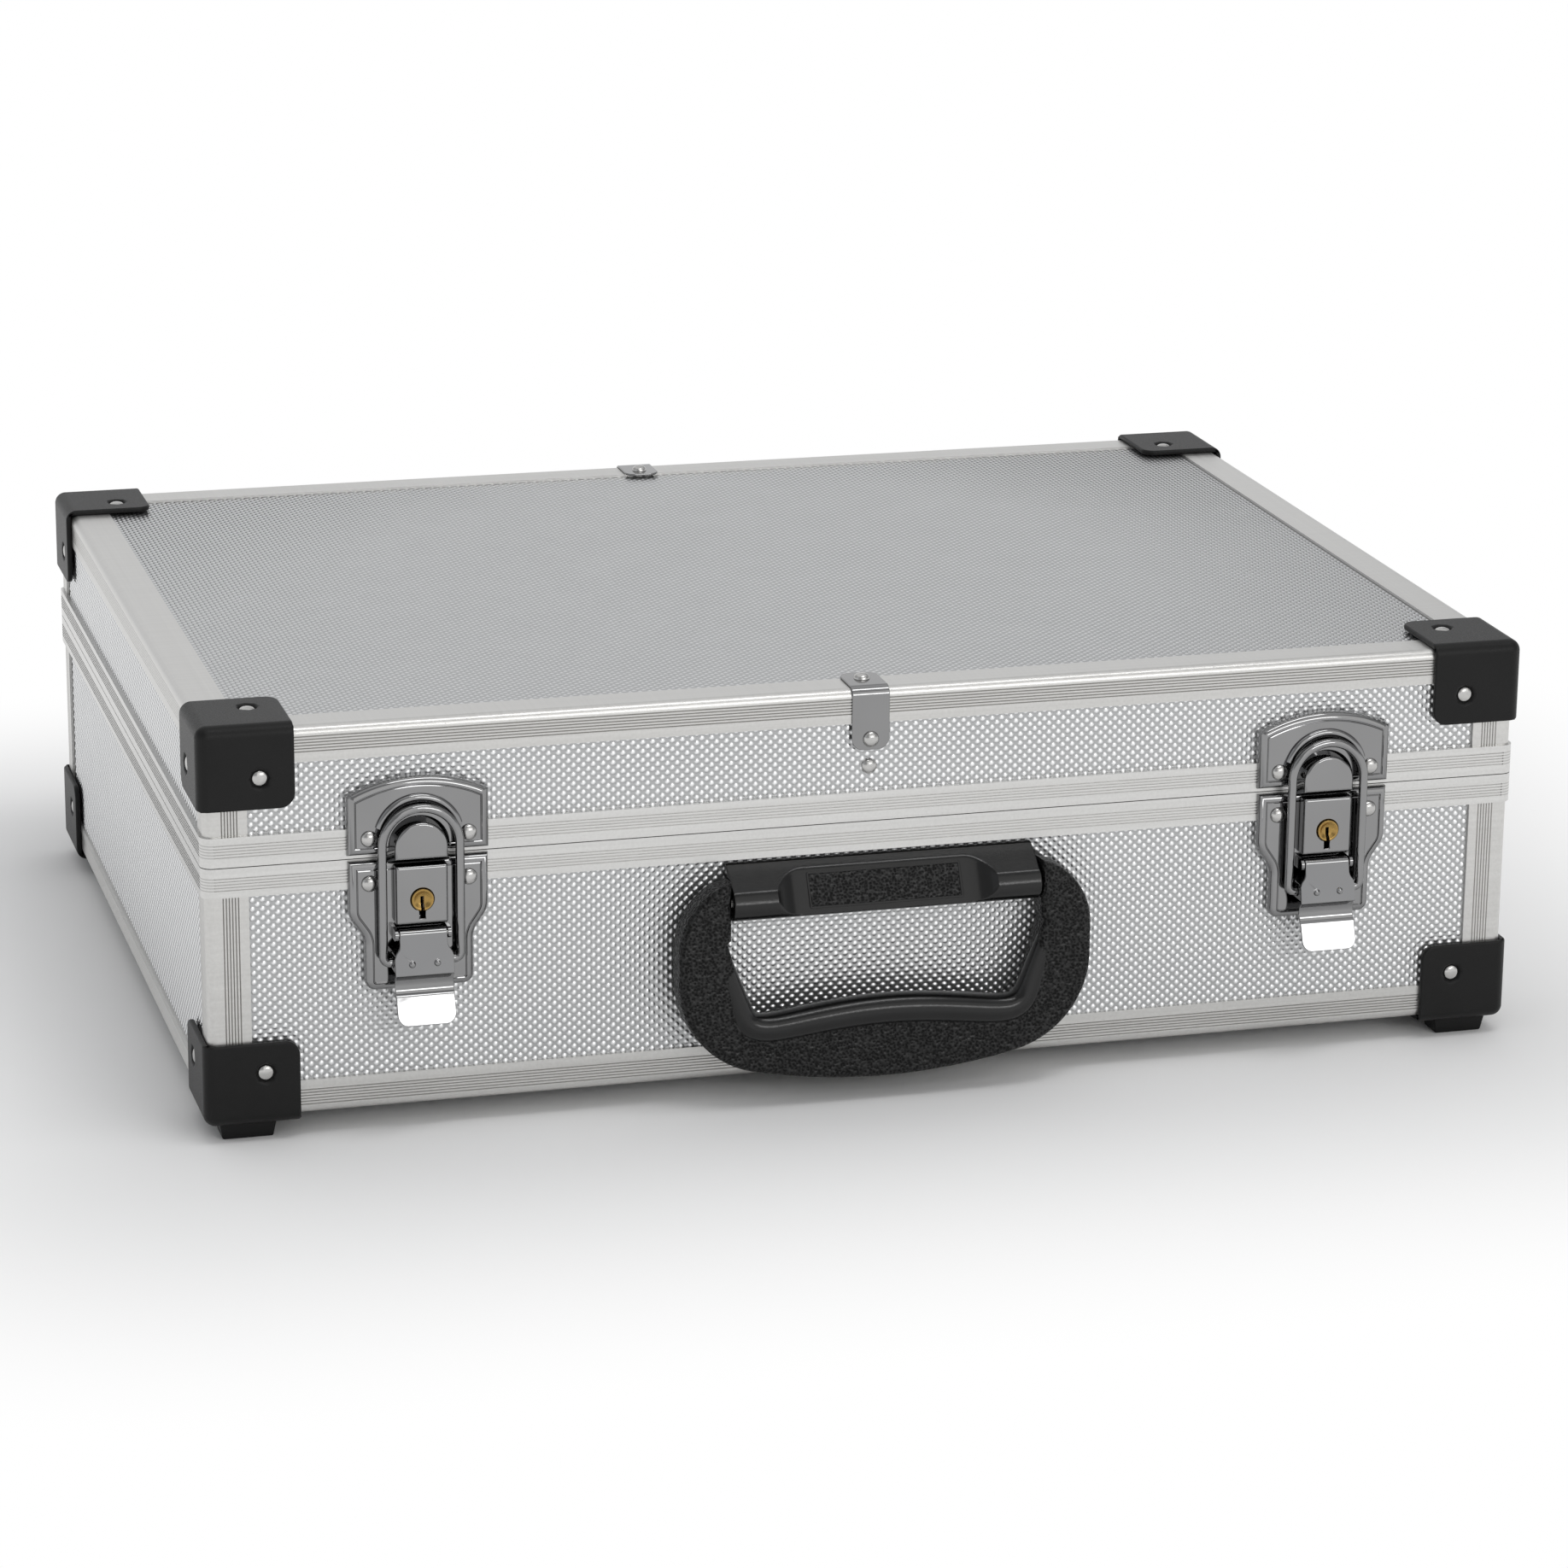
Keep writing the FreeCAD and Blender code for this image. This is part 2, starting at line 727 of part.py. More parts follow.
def lock_case():
    """Box-shaped lock case with a round hole and a key notch, open at the back."""
    high = seam - lock_top_drop
    low = high - lock_height
    face = front - plate_face
    shell = block(Vec(-lock_half_width, face - lock_rise, low), Vec(lock_half_width, face, high))
    front_edges = [edge for edge in shell.Edges if edge.BoundBox.YMax < face - lock_rise / 2]
    shell = shell.makeChamfer(lock_edge_chamfer, front_edges)
    shell = shell.cut(block(Vec(lock_wall - lock_half_width, face - lock_rise + lock_wall, low + lock_wall),
                            Vec(lock_half_width - lock_wall, face + overrun, high - lock_wall)))
    key_z = seam - key_drop
    hole = rod(cylinder_radius + cylinder_gap, Vec(0, face - lock_rise - overrun, key_z), Vec(0, face, key_z))
    notch_low = key_z - cylinder_radius - key_notch_height
    notch = block(Vec(-key_notch_width / 2, face - lock_rise - overrun, notch_low),
                  Vec(key_notch_width / 2, face - lock_rise + lock_wall + overrun, key_z))
    return shell.cut(hole).cut(notch)


def lock_cylinder():
    """Brass cylinder with a key slot, and the cam that hangs on its inner end."""
    face = front - plate_face
    key_z = seam - key_drop
    inner_y = face - cylinder_end_gap
    outer_y = face - lock_rise - cylinder_proud
    body = rod(cylinder_radius, Vec(0, inner_y, key_z), Vec(0, outer_y, key_z))
    slot = block(Vec(-key_slot_width / 2, outer_y - overrun, key_z - cylinder_radius + cylinder_lip),
                 Vec(key_slot_width / 2, outer_y + key_slot_depth, key_z + key_slot_width / 2))
    cam_half = cam_width / 2
    tip = key_z - cam_reach + cam_half
    cam_wire = outline(front_point(-cam_half, key_z), front_point(-cam_half, tip),
                       (front_point(0, key_z - cam_reach), front_point(cam_half, tip)),
                       front_point(cam_half, key_z), front_point(-cam_half, key_z))
    cam = prism([cam_wire], Y * inner_y, Y * -cam_thickness)
    return fused(body.cut(slot), cam)


# Lever and bail
def lever():
    """Pressed lever: rolled round its pin, flared body, hollow strip, finger tab and two cheeks."""
    pin_y = front - lever_pin_out
    face_y = pin_y - lever_roll_radius
    knee = side_point(face_y - lever_knee_out, lever_pin_z - lever_knee_drop)
    strip_end = side_point(face_y - lever_strip_out, knee.z - lever_strip_height)
    strip_mid = side_point((knee.y + strip_end.y) / 2 + lever_strip_hollow, (knee.z + strip_end.z) / 2)
    tip = side_point(face_y - lever_tab_out, strip_end.z - lever_tab_height)
    back = Y * lever_sheet
    start = side_point(face_y, lever_pin_z)
    section = outline(start, knee, (strip_mid, strip_end), tip, tip + back, strip_end + back,
                      (strip_mid + back, knee + back), start + back, start)
    sheet = prism([section], X * -lever_half_width, X * (2 * lever_half_width))
    roll = rod(lever_roll_radius, Vec(-lever_half_width, pin_y, lever_pin_z),
               Vec(lever_half_width, pin_y, lever_pin_z))
    body = fused(sheet, roll)
    flare = lever_pin_z - lever_flare_start
    wide = flare - lever_flare_height
    high = lever_pin_z + lever_roll_radius + overrun
    corner_mid = lever_tab_radius * (1 - cos(pi / 4))
    view = outline(front_point(-lever_top_half_width, high), front_point(lever_top_half_width, high),
                   front_point(lever_top_half_width, flare),
                   *s_bend(front_point(lever_top_half_width, flare), front_point(lever_half_width, wide)),
                   front_point(lever_half_width, tip.z + lever_tab_radius),
                   (front_point(lever_half_width - corner_mid, tip.z + corner_mid),
                    front_point(lever_half_width - lever_tab_radius, tip.z)),
                   front_point(lever_tab_radius - lever_half_width, tip.z),
                   (front_point(corner_mid - lever_half_width, tip.z + corner_mid),
                    front_point(-lever_half_width, tip.z + lever_tab_radius)),
                   front_point(-lever_half_width, wide),
                   *s_bend(front_point(-lever_half_width, wide), front_point(-lever_top_half_width, flare)),
                   front_point(-lever_top_half_width, high))
    thick = lever_pin_out + lever_tab_out + lever_roll_radius
    body = body.common(prism([view], Y * front, Y * -(thick + overrun)))
    bump_z = knee.z + lever_bump_lift
    slope = lever_knee_out / lever_knee_drop
    bump_y = face_y - slope * (lever_pin_z - bump_z)
    bump_rise = lever_bump_rise + lever_sheet / 2
    bumps = []
    for side in (-1, 1):
        seat = Vec(side * lever_bump_offset, bump_y + lever_sheet / 2, bump_z)
        bumps.append(button(seat, Y * -1, lever_bump_radius, lever_bump_crown, bump_rise))
    body = fused(body, *[lever_cheek(side, knee, face_y, slope) for side in (-1, 1)], *bumps)
    body = body.cut(lever_rod(lever_pin_radius + lever_pin_gap, overrun))
    bail_axis = Vec(0, front - bail_out, bail_pivot_z)
    wide = Vec(lever_half_width + overrun, 0, 0)
    return body.cut(rod(bail_wire_radius + bail_hole_gap, bail_axis - wide, bail_axis + wide))


def lever_cheek(side, knee, face_y, slope):
    """Side cheek bent back from the lever's sheet, with room for the bail's end."""
    low = knee.z + lever_cheek_lift
    high = low + lever_cheek_height
    rear = front - bail_out + lever_cheek_back
    low_y = face_y - slope * (lever_pin_z - low)
    high_y = face_y - slope * (lever_pin_z - high)
    shape = outline(side_point(rear, low), side_point(rear, high), side_point(high_y, high),
                    side_point(low_y, low), side_point(rear, low))
    return prism([shape], X * (side * (lever_half_width - lever_sheet)), X * (side * lever_sheet))


def bail():
    """Wire loop: two inward ends, two straight legs and a half-round arch."""
    y = front - bail_out
    end_x = lever_half_width - lever_sheet - bail_end_gap
    bend = bail_bend_radius
    mid = bend * (1 - cos(pi / 4))
    leg = bail_half_width
    low = bail_pivot_z

    def at(x, z):
        return Vec(x, y, z)

    path = [Part.LineSegment(at(-end_x, low), at(bend - leg, low)),
            Part.Arc(at(bend - leg, low), at(mid - leg, low + mid), at(-leg, low + bend)),
            Part.LineSegment(at(-leg, low + bend), at(-leg, bail_arch_z)),
            Part.Arc(at(-leg, bail_arch_z), at(0, bail_arch_z + leg), at(leg, bail_arch_z)),
            Part.LineSegment(at(leg, bail_arch_z), at(leg, low + bend)),
            Part.Arc(at(leg, low + bend), at(leg - mid, low + mid), at(leg - bend, low)),
            Part.LineSegment(at(leg - bend, low), at(end_x, low))]
    wire = Part.Wire([piece.toShape() for piece in path])
    ring = []
    for index in range(bail_wire_sides):
        turn = 2 * pi * index / bail_wire_sides
        ring.append(at(-end_x, low) + Y * (bail_wire_radius * cos(turn)) + Z * (bail_wire_radius * sin(turn)))
    section = Part.makePolygon(ring + ring[:1])
    return wire.makePipeShell([section], True, False)


# Handle
def handle_bracket():
    """Bracket with a barrel along its front, flattened in the middle round a sunk pad."""
    low = barrel_z - barrel_radius
    high = seam - bracket_drop
    half = bracket_width / 2
    axis_y = panel_front - barrel_out

    # The sloping top touches the barrel where its line from the lip is tangent
    lip_y = panel_front - bracket_lip
    reach = hypot(lip_y - axis_y, high - barrel_z)
    lean = atan2(high - barrel_z, lip_y - axis_y) + acos(barrel_radius / reach)
    touch = side_point(axis_y + barrel_radius * cos(lean), barrel_z + barrel_radius * sin(lean))
    foremost = side_point(axis_y - barrel_radius, barrel_z)
    shape = outline(side_point(panel_front, low), side_point(panel_front, high), side_point(lip_y, high),
                    touch, (foremost, side_point(axis_y, low)), side_point(panel_front, low))
    solid = prism([shape], X * -half, X * bracket_width)
    flat_y = foremost.y + bracket_flat_depth
    flat_half = bracket_flat_width / 2
    cutter = block(Vec(-flat_half, foremost.y - bracket_flat_radius, low - overrun),
                   Vec(flat_half, flat_y, high + overrun))
    inner_edges = [edge for edge in cutter.Edges
                   if edge.BoundBox.YMin > flat_y - board_gap and edge.BoundBox.ZLength > barrel_radius]
    solid = solid.cut(cutter.makeFillet(bracket_flat_radius, inner_edges))
    pad_half = pad_width / 2
    pad = block(Vec(-pad_half, flat_y - overrun, barrel_z - pad_height / 2),
                Vec(pad_half, flat_y + pad_depth, barrel_z + pad_height / 2))
    solid = solid.cut(pad)
    for side in (-1, 1):
        mouth = Vec(side * (half + overrun), axis_y, barrel_z)
        solid = solid.cut(rod(handle_pin_radius + handle_pin_seat_gap, mouth,
                              Vec(side * (half - handle_pin_reach), axis_y, barrel_z)))
    return solid


def handle_screws():
    """Heads of the two screws that hold the bracket, on the inner face of the front board."""
    inner = panel_front + board_thickness
    return Part.makeCompound([button(Vec(side * screw_offset, inner, barrel_z), Y, screw_head_radius,
                                     screw_crown_radius, screw_head_height) for side in (-1, 1)])


def handle_pins():
    """Two pins, each half in the bracket and half in the grip."""
    axis_y = panel_front - barrel_out
    half = bracket_width / 2
    pins = []
    for side in (-1, 1):
        pins.append(rod(handle_pin_radius, Vec(side * (half - handle_pin_reach), axis_y, barrel_z),
                        Vec(side * (half + grip_gap + handle_pin_reach), axis_y, barrel_z)))
    return Part.makeCompound(pins)


def tangent_via(start, heading, end):
    """Middle of the arc that leaves start along a heading and ends at end."""
    chord = end - start
    lean = heading.getAngle(chord)
    aside = heading - chord * (heading.dot(chord) / chord.Length ** 2)
    return start + chord / 2 + aside.normalize() * (chord.Length / 2 * tan(lean / 2))


def grip_outline():
    """Front outline of the grip: two arms hung from the bracket's ends and a deep belly between them."""
    inner = bracket_width / 2 + grip_gap
    low_z = barrel_z - grip_drop
    waist_z = barrel_z - opening_waist_drop
    waist_x = inner + opening_waist_out
    foot_x = inner - opening_foot_in
    foot_z = barrel_z - opening_foot_drop

    # The corner's arc carries on from the end of the belly and turns upright at the side
    belly_x = grip_belly_share * grip_half_width
    belly_z = low_z + grip_belly_sag
    belly_lean = 2 * atan2(grip_belly_sag, belly_x)
    side_z = belly_z + (grip_half_width - belly_x) * tan((pi / 2 + belly_lean) / 2)

    def half(side):
        crown = front_point(side * inner, barrel_z + grip_shoulder_lift)
        wide = front_point(side * grip_half_width, barrel_z - grip_side_drop)
        low = front_point(side * grip_half_width, side_z)
        belly = front_point(side * belly_x, belly_z)
        return crown, tangent_via(wide, Z, crown), wide, low, tangent_via(low, Z * -1, belly), belly

    crown, shoulder, wide, low, bend, belly = half(1)
    left_crown, left_shoulder, left_wide, left_low, left_bend, left_belly = half(-1)
    return outline(crown, (shoulder, wide), low, (bend, belly),
                   (front_point(0, low_z), left_belly), (left_bend, left_low), left_wide,
                   (left_shoulder, left_crown), front_point(-inner, waist_z),
                   front_point(-waist_x, waist_z - opening_waist_out), front_point(-foot_x, foot_z),
                   (front_point(0, foot_z + opening_crown), front_point(foot_x, foot_z)),
                   front_point(waist_x, waist_z - opening_waist_out), front_point(inner, waist_z), crown)


def handle_grip():
    """Moulded grip: a thick plate, bevelled in front, with a round bar along the foot of its opening."""
    plate = prism([grip_outline()], Y * (panel_front - grip_back), Y * -grip_thickness)
    face_y = panel_front - grip_back - grip_thickness
    rims = [edge for edge in plate.Edges if edge.BoundBox.YMax < face_y + board_gap]
    plate = plate.makeChamfer(grip_edge_chamfer, rims)
    bar_y = panel_front - bar_out
    foot_x = bracket_width / 2 + grip_gap - opening_foot_in
    foot_z = barrel_z - opening_foot_drop - bar_radius
    start = Vec(-foot_x, bar_y, foot_z)
    end = Vec(foot_x, bar_y, foot_z)
    arc = Part.Arc(start, Vec(0, bar_y, foot_z + opening_crown), end)
    section = Part.Wire([Part.makeCircle(bar_radius, start, arc.tangent(arc.FirstParameter)[0])])
    bar = Part.Wire([arc.toShape()]).makePipeShell([section], True, False)
    ends = [Part.makeSphere(bar_radius, point) for point in (start, end)]
    grip = fused(plate, bar, *ends)
    axis_y = panel_front - barrel_out
    half = bracket_width / 2

    # The shoulders are rounded behind the axis, so that they clear the board as the grip swings up
    wide = Vec(grip_half_width, 0, 0)
    behind = block(Vec(-grip_half_width, axis_y, barrel_z),
                   Vec(grip_half_width, panel_front, barrel_z + grip_shoulder_lift + overrun))
    axis = Vec(0, axis_y, barrel_z)
    grip = grip.cut(behind.cut(rod(barrel_out - grip_swing_gap, axis - wide, axis + wide)))
    for side in (-1, 1):
        grip = grip.cut(rod(handle_pin_radius + handle_pin_run_gap, Vec(side * half, axis_y, barrel_z),
                            Vec(side * (half + grip_gap + handle_pin_reach + grip_gap), axis_y, barrel_z)))
    return grip


# Hinges
def hinge_rod(hinge_x, radius, start, end):
    """Rod on the hinge axis between two distances from the hinge's middle."""
    return rod(radius, Vec(hinge_x + start, hinge_axis_y, seam), Vec(hinge_x + end, hinge_axis_y, seam))


def hinge_leaf(hinge_x, z_side):
    """Leaf on the rim with its knuckles: one in the middle on the lid, two outside on the base."""
    half = leaf_width / 2
    leaf_y = back + rim_proud
    low, high = sorted((seam, seam + z_side * leaf_height))
    leaf = block(Vec(hinge_x - half, leaf_y, low), Vec(hinge_x + half, leaf_y + leaf_thickness, high))
    outer = [edge for edge in leaf.Edges
             if edge.BoundBox.YLength > leaf_thickness / 2
             and abs(edge.CenterOfMass.z - seam) > leaf_height / 2]
    leaf = leaf.makeFillet(leaf_corner_radius, outer)
    inner = knuckle_lid_width / 2
    outer = inner + knuckle_gap
    if z_side > 0:
        knuckles = [(-inner, inner)]
        notches = [(-half - overrun, -inner), (inner, half + overrun)]
        run_gap = hinge_pin_run_gap
    else:
        knuckles = [(-half, -outer), (outer, half)]
        notches = [(-outer, outer)]
        run_gap = hinge_pin_seat_gap
    notch_low, notch_high = sorted((seam - z_side * overrun, seam + z_side * (knuckle_radius + knuckle_gap)))
    for start, end in notches:
        leaf = leaf.cut(block(Vec(hinge_x + start, leaf_y - overrun, notch_low),
                              Vec(hinge_x + end, leaf_y + leaf_thickness + overrun, notch_high)))
    leaf = fused(leaf, *[hinge_rod(hinge_x, knuckle_radius, start, end) for start, end in knuckles])
    return leaf.cut(hinge_rod(hinge_x, hinge_pin_radius + run_gap, -half - overrun, half + overrun))


def hinge_pins():
    reach = leaf_width / 2 + hinge_pin_overhang
    return Part.makeCompound([hinge_rod(x, hinge_pin_radius, -reach, reach)
                              for x in (-hinge_offset, hinge_offset)])


def at_latches(name, shape):
    """The same latch piece at the left and right latch, by name."""
    pieces = {}
    for side, x in (("left", -latch_offset), ("right", latch_offset)):
        copy = shape.copy()
        copy.translate(X * x)
        pieces["latch_" + side + "_" + name] = copy
    return pieces


def base_pieces():
    pieces = {"base_bottom_panel": level_board(bottom, -1)}
    pieces.update(walls("base", bottom + core + board_gap, base_web_low - board_gap))
    pieces.update(edge_profiles("base", bottom, -1))
    pieces["base_corner_posts"] = corner_posts(bottom + cover_leg, base_rim_low)
    pieces["base_rim_frame"] = base_rim()
    pieces.update(corners("base", bottom, -1))
    pieces["base_corner_rivets"] = corner_rivets(bottom, -1)
    pieces["base_hardware_rivets"] = hardware_rivets(seam - plate_rivet_drop, seam - hinge_rivet_lift)
    return pieces


def lid_pieces():
    pieces = {"lid_top_panel": level_board(top, 1)}
    pieces.update(walls("lid", lid_web_low + rim_web + board_gap, top - core - board_gap))
    pieces.update(edge_profiles("lid", top, 1))
    pieces["lid_corner_posts"] = corner_posts(lid_rim_high, top - cover_leg)
    pieces["lid_rim_frame"] = lid_rim()
    pieces.update(corners("lid", top, 1))
    pieces["lid_corner_rivets"] = corner_rivets(top, 1)
    pieces["lid_hardware_rivets"] = hardware_rivets(seam + keeper_rivet_lift, seam + hinge_rivet_lift)
    pieces["lid_front_clip"] = clip_strap(-1)
    pieces["lid_back_clip"] = clip_strap(1)
    pieces["lid_clip_rivets"] = clip_rivets()
    return pieces


def latch_pieces():
    pieces = at_latches("keeper", keeper())
    pieces.update(at_latches("base_plate", base_plate()))
    pieces.update(at_latches("lock_case", lock_case()))
    pieces.update(at_latches("lock_cylinder", lock_cylinder()))
    pieces.update(at_latches("lever", lever()))
    pieces.update(at_latches("bail", bail()))
    pins = at_latches("pin", lever_rod(lever_pin_radius, 0))
    pieces["latch_lever_pins"] = Part.makeCompound(list(pins.values()))
    return pieces


def handle_pieces():
    return {"handle_bracket": handle_bracket(),
            "handle_screws": handle_screws(),
            "handle_pivot_pins": handle_pins(),
            "handle_grip": handle_grip()}


def hinge_pieces():
    pieces = {"hinge_pins": hinge_pins()}
    for side, x in (("left", -hinge_offset), ("right", hinge_offset)):
        pieces["hinge_" + side + "_lid_leaf"] = hinge_leaf(x, 1)
        pieces["hinge_" + side + "_base_leaf"] = hinge_leaf(x, -1)
    return pieces


os.makedirs("parts", exist_ok=True)
for pieces in (base_pieces(), lid_pieces(), latch_pieces(), handle_pieces(), hinge_pieces()):
    for name, shape in pieces.items():
        shape.exportStep("parts/" + name + ".step")
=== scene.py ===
import json
import math

import bmesh
import bpy
from mathutils import Matrix, Vector

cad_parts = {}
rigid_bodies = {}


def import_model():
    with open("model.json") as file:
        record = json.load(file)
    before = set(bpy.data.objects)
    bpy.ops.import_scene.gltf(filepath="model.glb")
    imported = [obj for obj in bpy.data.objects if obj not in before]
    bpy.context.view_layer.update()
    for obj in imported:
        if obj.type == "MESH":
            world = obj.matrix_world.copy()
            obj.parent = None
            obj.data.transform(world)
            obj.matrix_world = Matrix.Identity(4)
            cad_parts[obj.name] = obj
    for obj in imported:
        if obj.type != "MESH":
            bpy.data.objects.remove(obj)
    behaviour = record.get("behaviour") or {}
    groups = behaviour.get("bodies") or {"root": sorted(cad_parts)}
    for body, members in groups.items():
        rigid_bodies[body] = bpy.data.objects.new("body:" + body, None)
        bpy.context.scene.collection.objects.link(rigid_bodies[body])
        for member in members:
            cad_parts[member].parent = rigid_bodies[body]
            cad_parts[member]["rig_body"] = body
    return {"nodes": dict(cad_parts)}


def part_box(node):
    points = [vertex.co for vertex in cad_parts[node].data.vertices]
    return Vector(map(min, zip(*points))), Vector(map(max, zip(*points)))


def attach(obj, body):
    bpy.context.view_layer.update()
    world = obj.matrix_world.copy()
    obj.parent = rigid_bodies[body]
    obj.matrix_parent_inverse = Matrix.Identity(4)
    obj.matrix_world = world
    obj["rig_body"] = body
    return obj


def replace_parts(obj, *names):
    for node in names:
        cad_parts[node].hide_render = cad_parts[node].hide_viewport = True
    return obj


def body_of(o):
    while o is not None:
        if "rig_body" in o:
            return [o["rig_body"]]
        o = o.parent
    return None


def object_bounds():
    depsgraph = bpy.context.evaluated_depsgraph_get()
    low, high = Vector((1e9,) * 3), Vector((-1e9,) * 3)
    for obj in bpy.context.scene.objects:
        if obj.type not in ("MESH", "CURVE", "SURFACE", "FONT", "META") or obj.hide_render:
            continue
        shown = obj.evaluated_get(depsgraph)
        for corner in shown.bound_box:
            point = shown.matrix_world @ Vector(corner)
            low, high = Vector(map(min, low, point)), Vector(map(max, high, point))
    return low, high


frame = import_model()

cad_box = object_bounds()
nodes = frame["nodes"]

# Studio
# A pale floor under wide soft lamps overhead, in front on the right, behind and on the left, with
# two narrow strips that glint in the metal. The camera stands a little to the left and looks down.
scene = bpy.context.scene
scene.view_settings.view_transform = "Standard"

view_azimuth = math.radians(-15.654)
view_elevation = math.radians(16.868)
view_roll = math.radians(0.536)
camera_place = (-0.4722, -1.72647, 0.60326)
right = Vector((math.cos(view_azimuth), math.sin(view_azimuth), 0))
back = Vector((math.sin(view_azimuth) * math.cos(view_elevation),
               -math.cos(view_azimuth) * math.cos(view_elevation), math.sin(view_elevation)))
up = back.cross(right)
tilted_right = right * math.cos(view_roll) + up * math.sin(view_roll)
tilted_up = up * math.cos(view_roll) - right * math.sin(view_roll)
camera_data = bpy.data.cameras.new("camera")
camera_data.sensor_width = 36
camera_data.lens = 117.556
camera_data.clip_end = 100
camera = bpy.data.objects.new("camera", camera_data)
camera.matrix_world = Matrix((
    (tilted_right.x, tilted_up.x, back.x, camera_place[0]),
    (tilted_right.y, tilted_up.y, back.y, camera_place[1]),
    (tilted_right.z, tilted_up.z, back.z, camera_place[2]),
    (0, 0, 0, 1)))
scene.collection.objects.link(camera)
scene.camera = camera

floor_reach = 150
floor_mesh = bpy.data.meshes.new("floor")
floor_mesh.from_pydata([(-floor_reach, -floor_reach, 0), (floor_reach, -floor_reach, 0),
                        (floor_reach, floor_reach, 0), (-floor_reach, floor_reach, 0)], [], [(0, 1, 2, 3)])
floor = bpy.data.objects.new("floor", floor_mesh)
scene.collection.objects.link(floor)


def add(tree, kind, links=(), **settings):
    """A node with its settings, and its inputs given as (input, output or value) pairs."""
    node = tree.nodes.new(kind)
    for key, value in settings.items():
        setattr(node, key, value)
    for socket, source in links:
        if hasattr(source, "is_output"):
            tree.links.new(source, node.inputs[socket])
        else:
            node.inputs[socket].default_value = source
    return node


def math_node(tree, operation, *values):
    return add(tree, "ShaderNodeMath", list(enumerate(values)), operation=operation).outputs[0]


def vector_node(tree, operation, *values, output="Vector"):
    return add(tree, "ShaderNodeVectorMath", list(enumerate(values)), operation=operation).outputs[output]


def spread(tree, value, start, end, low, high, **settings):
    """A value from start to end, spread over low to high and held there."""
    return add(tree, "ShaderNodeMapRange", [("Value", value), ("From Min", start), ("From Max", end),
                                            ("To Min", low), ("To Max", high)], **settings).outputs["Result"]


def seen(tree):
    """One where the eye looks, straight on or by way of metal, and zero where light falls on the case."""
    rays = tree.nodes.new("ShaderNodeLightPath").outputs
    by_way = math_node(tree, "MAXIMUM", rays["Is Glossy Ray"], rays["Is Transmission Ray"])
    return math_node(tree, "MAXIMUM", rays["Is Camera Ray"], by_way)


# Away from the case the floor is plain white, to the eye and in the metal alike
floor_colour = (0.93, 0.93, 0.93, 1)
floor_roughness = 0.9
white_from = 0.22
floor_paint = bpy.data.materials.new("floor_paint")
floor_paint.use_nodes = True
floor_mesh.materials.append(floor_paint)
tree = floor_paint.node_tree
near_floor = tree.nodes["Principled BSDF"]
near_floor.inputs["Base Color"].default_value = floor_colour
near_floor.inputs["Roughness"].default_value = floor_roughness
far_floor = add(tree, "ShaderNodeEmission", [("Color", (1, 1, 1, 1)), ("Strength", 1.0)])
place = vector_node(tree, "ABSOLUTE", tree.nodes.new("ShaderNodeTexCoord").outputs["Object"])
beyond = vector_node(tree, "SUBTRACT", place, (*cad_box[1][:2], 0))
away = vector_node(tree, "LENGTH", vector_node(tree, "MAXIMUM", beyond, (0, 0, 0)), output="Value")
fade = spread(tree, away, 0.0, white_from, 0.0, 1.0, interpolation_type="SMOOTHSTEP")
mixed = add(tree, "ShaderNodeMixShader", [(0, math_node(tree, "MULTIPLY", seen(tree), fade)),
                                          (1, near_floor.outputs[0]), (2, far_floor.outputs[0])])
tree.links.new(mixed.outputs[0], tree.nodes["Material Output"].inputs["Surface"])

# The room is dimmer in front of the case than behind it, and its far wall is white like the floor
room_colour = (0.985, 0.99, 1.0, 1)
room_front, room_back = -0.3, 0.7
front_glow, back_glow = 0.42, 0.54
wall_white, wall_end = 0.05, 0.26
world = bpy.data.worlds.new("studio")
world.use_nodes = True
sky = world.node_tree
heading = add(sky, "ShaderNodeSeparateXYZ", [(0, sky.nodes.new("ShaderNodeTexCoord").outputs["Generated"])])
glow = spread(sky, heading.outputs["Y"], room_front, room_back, front_glow, back_glow)
wall = spread(sky, heading.outputs["Z"], wall_white, wall_end, 1.0, 0.0, interpolation_type="SMOOTHSTEP")
white = math_node(sky, "MULTIPLY", seen(sky), wall)
background = sky.nodes["Background"].inputs
background["Color"].default_value = room_colour
sky.links.new(spread(sky, white, 0.0, 1.0, glow, 1.0), background["Strength"])
scene.world = world

neutral = (1.0, 1.0, 1.0)
warm = (1.0, 0.99, 0.97)
cool = (0.86, 0.93, 1.0)
for name, place, aim, width, height, power, colour in (
        ("overhead", (0.1, 0.2, 2.2), (0, 0, 0.1), 3.6, 2.8, 11, neutral),
        ("front_right", (0.7, -2.3, 1.3), (0, -0.1, 0.08), 3.2, 1.8, 13, warm),
        ("behind", (0, 2.6, 1.4), (0, 0, 0.08), 3.0, 1.6, 4.5, neutral),
        ("left", (-2.2, -0.5, 1.0), (0, 0, 0.08), 1.6, 1.4, 1.5, cool),
        ("front_strip", (0.625, -2.19, 0.93), (0, -0.17, 0.05), 1.0, 0.3, 4.5, neutral),
        ("top_strip", (0.3, -0.75, 2.1), (0, -0.17, 0.08), 1.3, 0.3, 6.0, neutral)):
    lamp = bpy.data.lights.new(name, "AREA")
    lamp.shape = "RECTANGLE"
    lamp.size = width
    lamp.size_y = height
    lamp.energy = power
    lamp.color = colour
    stand = bpy.data.objects.new(name, lamp)
    stand.location = place
    stand.rotation_euler = (Vector(aim) - Vector(place)).to_track_quat("-Z", "Y").to_euler()
    scene.collection.objects.link(stand)

